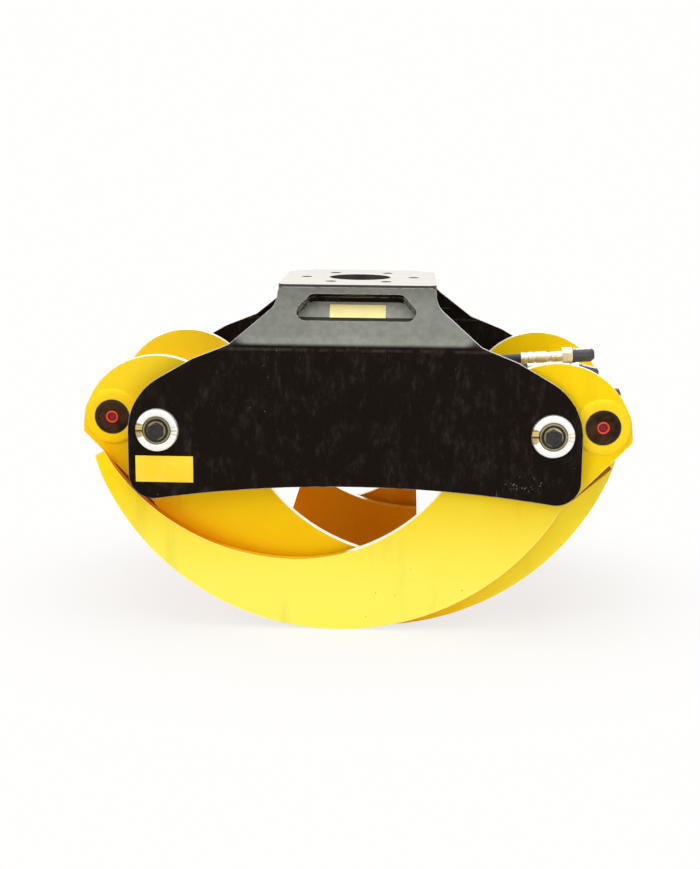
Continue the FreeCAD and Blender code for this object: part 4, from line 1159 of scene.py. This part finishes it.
@dataclass
class HoseEnd:
    """The crimped fitting, swivel nut and dust cap at the end of a hose."""

    name: str
    start: Point
    direction: Point
    tilt: float = 0.0
    bend: float = 0.008
    mouth: float = 0.0076
    ferrule: float = 0.0095
    shank: float = 0.0084
    ferrule_length: float = 0.042
    fitting_length: float = 0.066
    across: float = 0.024
    nut_length: float = 0.017
    cap_radius: float = 0.0122
    cap_length: float = 0.035

    def build(self, shop: Workshop) -> None:
        """Turns the fitting in line with the hose, then the nut and cap tilted down from it.

        Args:
            shop: the workshop.
        """
        place = Matrix.Translation(self.start) @ Vector(self.direction).to_track_quat("Z", "Y").to_matrix().to_4x4()
        knee = self.fitting_length - self.bend
        tilted = place @ Matrix.Translation((0.0, 0.0, knee)) @ Matrix.Rotation(math.radians(self.tilt), 4, "X")
        wide, groove, end = self.ferrule, self.ferrule - 0.0007, self.ferrule_length
        fitting = turn(
            f"{self.name}_crimped_fitting",
            (
                (self.mouth, 0.0), (wide - 0.0006, 0.0), (wide, 0.0008), (wide, 0.007),
                (groove, 0.0078), (groove, 0.0115), (wide, 0.0123), (wide, 0.0195),
                (groove, 0.0203), (groove, 0.024), (wide, 0.0248), (wide, end - 0.001),
                (wide - 0.0008, end), (self.shank - 0.0008, end + 0.001), (self.shank - 0.0008, end + 0.006),
                (self.shank, end + 0.007), (self.shank, knee),
            ),
            sides=48,
        )
        elbow = turn("bent_end", ((self.shank, -self.bend / 4), (self.shank, self.bend)), sides=48)
        fitting = joined(fitting.name, [put(fitting, place), put(elbow, tilted)])
        shop.hand_over(fitting, ZINC, Body.BARREL, [f"{self.name}_hose_fitting"])
        nut_end = self.bend + self.nut_length
        nut = hexagon_head(f"{self.name}_swivel_nut", self.across, self.bend, nut_end)
        shop.hand_over(put(nut, tilted), ZINC, Body.BARREL, [f"{self.name}_hose_nut"])
        radius, tip = self.cap_radius, nut_end + self.cap_length
        cap = turn(
            f"{self.name}_dust_cap",
            (
                (radius - 0.0014, nut_end), (radius - 0.0002, nut_end + 0.0004), (radius, nut_end + 0.001),
                (radius, nut_end + 0.0042), (radius - 0.0008, nut_end + 0.005), (radius - 0.0008, tip - 0.0062),
                (radius - 0.0014, tip - 0.0050), (radius - 0.0046, tip - 0.0006), (radius - 0.0054, tip),
            ),
            sides=12,
        )
        soften(cap, 0.0004, 1, 20.0)
        shop.hand_over(put(cap, tilted), DARK_PLASTIC, Body.BARREL, [f"{self.name}_hose_cap"])


@dataclass
class HoseStart:
    """The adapter and ferrule where a hose leaves the port block."""

    name: str
    place: Point
    across: float = 0.024
    ferrule: float = 0.0095

    def build(self, shop: Workshop) -> None:
        """Turns the adapter and crimps the ferrule over the hose."""
        along = Matrix.Translation(self.place) @ Matrix.Rotation(math.radians(90.0), 4, "Y")
        nut = hexagon_head(f"{self.name}_adapter_nut", self.across, 0.0, 0.014)
        shop.hand_over(put(nut, along), ZINC, Body.BARREL)
        wide = self.ferrule
        ferrule = turn(
            f"{self.name}_adapter_ferrule",
            (
                (wide - 0.001, 0.0141), (wide, 0.0150), (wide, 0.022), (wide - 0.0007, 0.0228),
                (wide - 0.0007, 0.0265), (wide, 0.0273), (wide, 0.0345), (wide - 0.0007, 0.0353),
                (wide - 0.0007, 0.039), (wide, 0.0398), (wide, 0.053), (wide - 0.0006, 0.0538), (0.0076, 0.054),
            ),
            sides=48,
        )
        shop.hand_over(put(ferrule, along), ZINC, Body.BARREL)


@dataclass
class Hoses:
    """The pair of hoses with everything on their ends."""

    lower_tilt: float = 14.0
    pair: tuple[Hose, ...] = (
        Hose("upper", ((-0.005, -0.020, 0.394), (0.080, -0.020, 0.394), (0.176, -0.019, 0.403), (0.262, -0.020, 0.409))),
        Hose("lower", ((-0.005, 0.021, 0.384), (0.084, 0.021, 0.384), (0.184, 0.022, 0.385), (0.276, 0.022, 0.388))),
    )

    def build(self, shop: Workshop) -> None:
        """Lays both hoses and makes their ends."""
        for hose in self.pair:
            *_, before, last = hose.route
            tilt = self.lower_tilt if hose.name == "lower" else 0.0
            HoseEnd(hose.name, last, tuple(b - a for a, b in zip(before, last)), tilt).build(shop)
            HoseStart(hose.name, hose.route[0]).build(shop)
            hose.build(shop)


# --------------------------------------------------------------- sub-assemblies


@dataclass
class Hood:
    """The bent cheeks with their trays, webs, ribs and the rotator flange."""

    half_depth: float = 0.204
    tray_floor: Point = (0.0015, -0.13607, 0.49484)
    slope: float = 48.37

    def build(self, shop: Workshop) -> None:
        """Dresses the hood and lays its welds and plain stickers."""
        for end in ("front", "rear"):
            shop.dress(BLACK, f"{end}_cheek", f"{end}_slot_tray", f"{end}_web", f"{end}_ribs")
        shop.dress(FLANGE_STEEL, "rotator_flange")
        self.stick(shop)
        self.weld_ribs(shop)

    def stick(self, shop: Workshop) -> None:
        """Two plain stickers, one under the left pivot and one in the slot."""
        notice = block("plain_notice", (-0.334, -self.half_depth - 0.0003, 0.2365), (-0.2455, -self.half_depth + 0.0002, 0.2775))
        soften(notice, 0.0012, 2, 60.0)
        shop.hand_over(notice, STICKER, Body.FRAME)
        label = block("slot_label", (-0.043, -0.0121, 0.0001), (0.043, 0.0121, 0.0005))
        lie = Matrix.Translation(self.tray_floor) @ Matrix.Rotation(math.radians(self.slope), 4, "X")
        shop.hand_over(put(label, lie), PALE_STICKER, Body.FRAME)

    def weld_ribs(self, shop: Workshop) -> None:
        """Beads between the ribs and the webs and cheeks."""
        for end, front in (("front", -1.0), ("rear", 1.0)):
            beads = []
            for side in (-1.0, 1.0):
                for face in (-0.005, 0.005):
                    x = side * 0.110 + face
                    beads.append(weld_line("bead", (x, front * 0.0955, 0.286), (x, front * 0.0955, 0.330), 0.003))
                    beads.append(weld_line("bead", (x, front * 0.1955, 0.284), (x, front * 0.1955, 0.420), 0.003))
            shop.hand_over(joined(f"{end}_rib_welds", beads), BLACK, Body.FRAME)


@dataclass
class Pivots:
    """The four claw pivots, each an expanding sleeve with a washer and a flanged bolt."""

    half_span: float = 0.300
    height: float = 0.318
    seat: float = 0.196
    sleeve_radius: float = 0.0325
    sleeve_bore: float = 0.0215
    proud: float = 0.015
    bolt_across: float = 0.0235

    def places(self) -> dict[str, Matrix]:
        """Each pivot's place by name, with Z pointing out of the cheek."""
        spots = {}
        for end, front, outward in (("front", -1.0, OUTWARD_FRONT), ("rear", 1.0, OUTWARD_REAR)):
            for hand, side in (("left", -1.0), ("right", 1.0)):
                spots[f"{hand}_{end}"] = Matrix.Translation((side * self.half_span, front * self.seat, self.height)) @ outward
        return spots

    def build(self, shop: Workshop) -> None:
        """Makes the sleeves, washers and bolts, and dresses the pins."""
        places = self.places()
        for name in places:
            shop.dress(GROUND_STEEL, f"pivot_pin_{name}")
        rim, bore, top = self.sleeve_radius, self.sleeve_bore, self.proud
        sleeve = turn(
            "pivot_sleeve_pattern",
            (
                (bore, 0.0002), (rim, 0.0002), (rim, top - 0.0026), (rim - 0.0006, top - 0.0014),
                (rim - 0.0018, top - 0.0005), (rim - 0.0034, top), (bore + 0.0012, top),
                (bore + 0.0003, top - 0.0005), (bore, top - 0.0014), (bore, 0.0002),
            ),
            sides=96,
        )
        slit = block("slit_tool", (-0.04, -0.0011, 0.0085), (0.04, 0.0011, 0.02))
        carve(sleeve, slit)
        for name, place in places.items():
            only(sleeve)
            bpy.ops.object.duplicate()
            copy = put(bpy.context.active_object, place)
            copy.name = copy.data.name = f"slotted_sleeve_{name}"
            shop.hand_over(copy, SLEEVE_STEEL, Body.FRAME, [f"pivot_sleeve_{name}"])
        bpy.data.objects.remove(sleeve)
        spots = list(places.values())
        washer = turn(
            "tension_washers",
            (
                (0.0080, 0.0102), (0.0210, 0.0102), (0.0210, top - 0.0010), (0.0203, top),
                (0.0184, top), (0.0176, top - 0.0008), (0.0174, 0.0118), (0.0080, 0.0118), (0.0080, 0.0102),
            ),
        )
        shop.hand_over(repeated(washer, spots), OLIVE_ZINC, Body.FRAME, ["pivot_washers"])
        flange = turn(
            "bolt_flanges",
            ((0.0118, 0.0122), (0.0152, 0.0122), (0.0156, 0.0130), (0.0154, 0.0148), (0.0140, 0.0168), (0.0118, 0.0172)),
        )
        shop.hand_over(repeated(flange, spots), OLIVE_ZINC, Body.FRAME)
        # Painted shade: a thin dark ring on the washers' recess floor stands for the shaded gap round the bolt flanges.
        groove = turn("washer_gap_shade", ((0.0110, 0.0117), (0.0176, 0.0117), (0.0176, 0.0123), (0.0110, 0.0123)))
        head = hexagon_head("bolt_head", self.bolt_across, 0.0170, 0.0268, 0.0026)
        dimple = turn("dimple_tool", ((0.0072, 0.0280), (0.0066, 0.0259)), sides=48)
        carve(head, dimple)
        shop.hand_over(repeated(joined("pivot_bolt_set", [head, groove]), spots), DARK_STEEL, Body.FRAME, ["pivot_bolts"])


@dataclass
class Claw:
    """One claw with its hubs, ear tubes and cylinder pin."""

    side: str
    body: Body
    sign: float
    half_depth: float
    plate: Finish
    boss: Finish
    pivot_side: float = 0.300
    pin_side: float = 0.376
    pin_height: float = 0.330
    pin_radius: float = 0.025
    pin_proud: float = 0.0065
    boss_radius: float = 0.041
    heel: tuple[float, float] = (0.011, 0.003)
    heel_start: float = 0.33
    heel_end: float = -0.004

    def build(self, shop: Workshop) -> None:
        """Dresses the claw, then makes its pin, bosses and welds."""
        shop.dress(YELLOW_SKIN, f"{self.side}_claw_skin")
        for end in ("front", "rear"):
            shop.dress(self.plate, f"{self.side}_claw_{end}_plate")
            shop.dress(YELLOW_TUBE, f"{self.side}_hub_{end}", f"{self.side}_ear_tube_{end}")
        shop.dress(BRONZE, f"{self.side}_hub_bushes")
        self.fit_pin(shop)
        self.raise_bosses(shop)
        self.flatten_heel(shop)
        self.weld(shop)

    def pin_axis(self, front: float) -> Matrix:
        """The pin's axis at the middle plane, with Z to the front or rear."""
        outward = OUTWARD_FRONT if front < 0 else OUTWARD_REAR
        return Matrix.Translation((self.sign * self.pin_side, 0.0, self.pin_height)) @ outward

    def fit_pin(self, shop: Workshop) -> None:
        """Turns the cylinder pin with its stepped ends, and the red plugs in them."""
        end, radius = self.half_depth + self.pin_proud, self.pin_radius
        half = ((0.0098, end - 0.006), (0.0098, end - 0.0012), (0.0208, end - 0.0012), (0.0216, end - 0.0002), (0.0230, end), (radius - 0.0004, end - 0.0012), (radius - 0.0001, end - 0.003))
        profile = [(r, -z) for r, z in half] + [(r, z) for r, z in reversed(half)]
        pin = put(turn(f"{self.side}_pin_shaft", profile, sides=96), self.pin_axis(-1.0))
        shop.hand_over(pin, RUSTY_STEEL, self.body, [f"{self.side}_cylinder_pin"])
        plug = turn(
            f"{self.side}_red_plugs",
            (
                (0.0094, end - 0.0055), (0.0096, end - 0.0010), (0.0093, end - 0.0001), (0.0084, end + 0.0005),
                (0.0072, end + 0.0002), (0.0066, end - 0.0008), (0.0062, end - 0.0042), (0.0040, end - 0.0048),
            ),
            sides=48,
        )
        shop.hand_over(repeated(plug, [self.pin_axis(-1.0), self.pin_axis(1.0)]), RED_PLASTIC, self.body, [f"{self.side}_pin_plugs"])
        # Painted shade: the plugs' recesses are lined in a deep red, as if in shade.
        recess = turn(f"{self.side}_plug_recesses", ((0.0056, end - 0.0045), (0.0060, end - 0.0030), (0.0052, end - 0.0024)), sides=48)
        shop.hand_over(repeated(recess, [self.pin_axis(-1.0), self.pin_axis(1.0)]), DEEP_RED, self.body)

    def raise_bosses(self, shop: Workshop) -> None:
        """Rounded bosses round the pin's ends, as the pressed plate shows."""
        face, top, rim = self.half_depth - 0.0004, self.half_depth + 0.0052, self.boss_radius
        boss = turn(
            f"{self.side}_bosses",
            (
                (0.0256, face), (rim + 0.0030, face), (rim + 0.0028, face + 0.0006), (rim + 0.0022, face + 0.0020),
                (rim + 0.0010, face + 0.0038), (rim - 0.0006, face + 0.0050), (rim - 0.0024, face + 0.0056),
                (rim - 0.0060, top),
                (0.0268, top), (0.0260, top - 0.0003), (0.0256, top - 0.0010), (0.0256, face),
            ),
            sides=96,
        )
        seal = turn(f"{self.side}_pin_rings", ((0.0249, top - 0.002), (0.0249, top + 0.0004), (0.0268, top + 0.0004), (0.0274, top - 0.0004), (0.0274, top - 0.002)), sides=96)
        for piece, finish in ((boss, self.boss), (seal, DARK_STEEL)):
            shop.hand_over(repeated(piece, [self.pin_axis(-1.0), self.pin_axis(1.0)]), finish, self.body)

    def flatten_heel(self, shop: Workshop) -> None:
        """Flats behind the front and rear plates, a little proud of the straight heel.

        Args:
            shop: the workshop.
        """
        upper = Vector((self.sign * (self.pivot_side + 0.1216), 0.0, 0.3057))
        lower = Vector((self.sign * (self.pivot_side + 0.0159), 0.0, 0.1962))
        along = (lower - upper).normalized()
        across = Vector((0.0, self.sign, 0.0))
        out = along.cross(across)
        lie = Matrix((along, across, out)).transposed().to_4x4()
        inner, length = self.half_depth - 0.0145, (lower - upper).length
        flats = []
        for front in (-1.0, 1.0):
            low, high = sorted((front * inner * self.sign, front * (inner - 0.0075) * self.sign))
            flats.append(block("flat", (self.heel_start * length, low, -0.003), (length + self.heel_end, high, 0.0)))
        flat = joined(f"{self.side}_heel_flats", flats)
        for corner in flat.data.vertices:
            if corner.co.z > -0.001:
                corner.co.z = self.heel[0] if corner.co.x < 0.7 * length else self.heel[1]
        soften(flat, 0.0008, 1, 60.0)
        shop.hand_over(put(flat, Matrix.Translation(upper) @ lie), YELLOW_SHADE, self.body)

    def weld(self, shop: Workshop) -> None:
        """Beads round the hubs and ear tubes, inside the plates."""
        inner = self.half_depth - 0.014
        beads = []
        for front in (-1.0, 1.0):
            ear = Matrix.Translation((self.sign * self.pin_side, front * inner, self.pin_height)) @ OUTWARD_FRONT
            hub = Matrix.Translation((self.sign * self.pivot_side, front * inner, 0.318)) @ OUTWARD_FRONT
            beads += [weld_ring("bead", 0.0355, 0.0032, ear), weld_ring("bead", 0.0405, 0.0032, hub)]
            middle = (self.sign * (self.pivot_side - 0.392), front * inner, 0.398)
            first, last = (-26.7, -48.4) if self.sign > 0 else (206.7, 228.4)
            beads.append(weld_arc("bead", middle, 0.281, first, last, 0.0032))
        shop.hand_over(joined(f"{self.side}_claw_welds", beads), YELLOW_WELD, self.body)


@dataclass
class Cylinder:
    """The hydraulic cylinder between the claws' ears."""

    axis_height: float = 0.330
    barrel_end: float = 0.310
    rod_shoulder: float = -0.340
    base_pin_side: float = 0.376
    nipple_angle: float = 25.0

    def build(self, shop: Workshop) -> None:
        """Dresses the barrel and the rod, and lays their welds."""
        shop.dress(BLACK, "cylinder_base", "cylinder_barrel", "cylinder_gland", "port_block", "rod_eye")
        shop.dress(BRONZE, "base_eye_bush", "rod_eye_bush")
        shop.dress(CHROME, "piston_rod")
        shop.dress(GROUND_STEEL, "piston")
        shop.dress(RUBBER, "rod_wiper")
        self.cap_nipple(shop)
        along = Matrix.Rotation(math.radians(90.0), 4, "Y")
        base = Matrix.Translation((self.barrel_end, 0.0, self.axis_height)) @ along
        shop.hand_over(weld_ring("base_weld", 0.0445, 0.0032, base), BLACK, Body.BARREL)
        rod = Matrix.Translation((self.rod_shoulder, 0.0, self.axis_height)) @ along
        shop.hand_over(weld_ring("rod_weld", 0.0235, 0.0028, rod), BLACK, Body.ROD)


    def cap_nipple(self, shop: Workshop) -> None:
        """Moulds the ribbed dust cap over the base eye's grease nipple.

        Args:
            shop: the workshop.
        """
        cap = turn(
            "nipple_dust_cap",
            (
                (0.0066, 0.0372), (0.0078, 0.0384), (0.0078, 0.0430), (0.0070, 0.0438), (0.0070, 0.0470),
                (0.0078, 0.0478), (0.0078, 0.0530), (0.0066, 0.0552), (0.0050, 0.0560),
            ),
            sides=24,
        )
        lean = Matrix.Rotation(math.radians(90.0 - self.nipple_angle), 4, "Y")
        middle = Matrix.Translation((self.base_pin_side, 0.0, self.axis_height))
        shop.hand_over(put(cap, middle @ lean), DARK_PLASTIC, Body.BARREL, ["grease_cap"])


def main() -> None:
    """Builds the scene, piece by piece."""
    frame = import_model()
    shop = Workshop(frame["nodes"])
    Viewpoint().build()
    Studio().build()
    for piece in (
        Hoses(),
        Hood(),
        Pivots(),
        Claw("right", Body.RIGHT_CLAW, 1.0, 0.187, YELLOW_OUTER, OUTER_BOSS),
        Claw("left", Body.LEFT_CLAW, -1.0, 0.162, YELLOW, YELLOW_BOSS, heel=(0.006, 0.020), heel_start=0.30, heel_end=0.014),
        Cylinder(),
    ):
        piece.build(shop)
        log.info("built %s", type(piece).__name__)


if __name__ == "__main__":
    logging.basicConfig(level=logging.INFO, format="%(name)s: %(message)s")
    main()
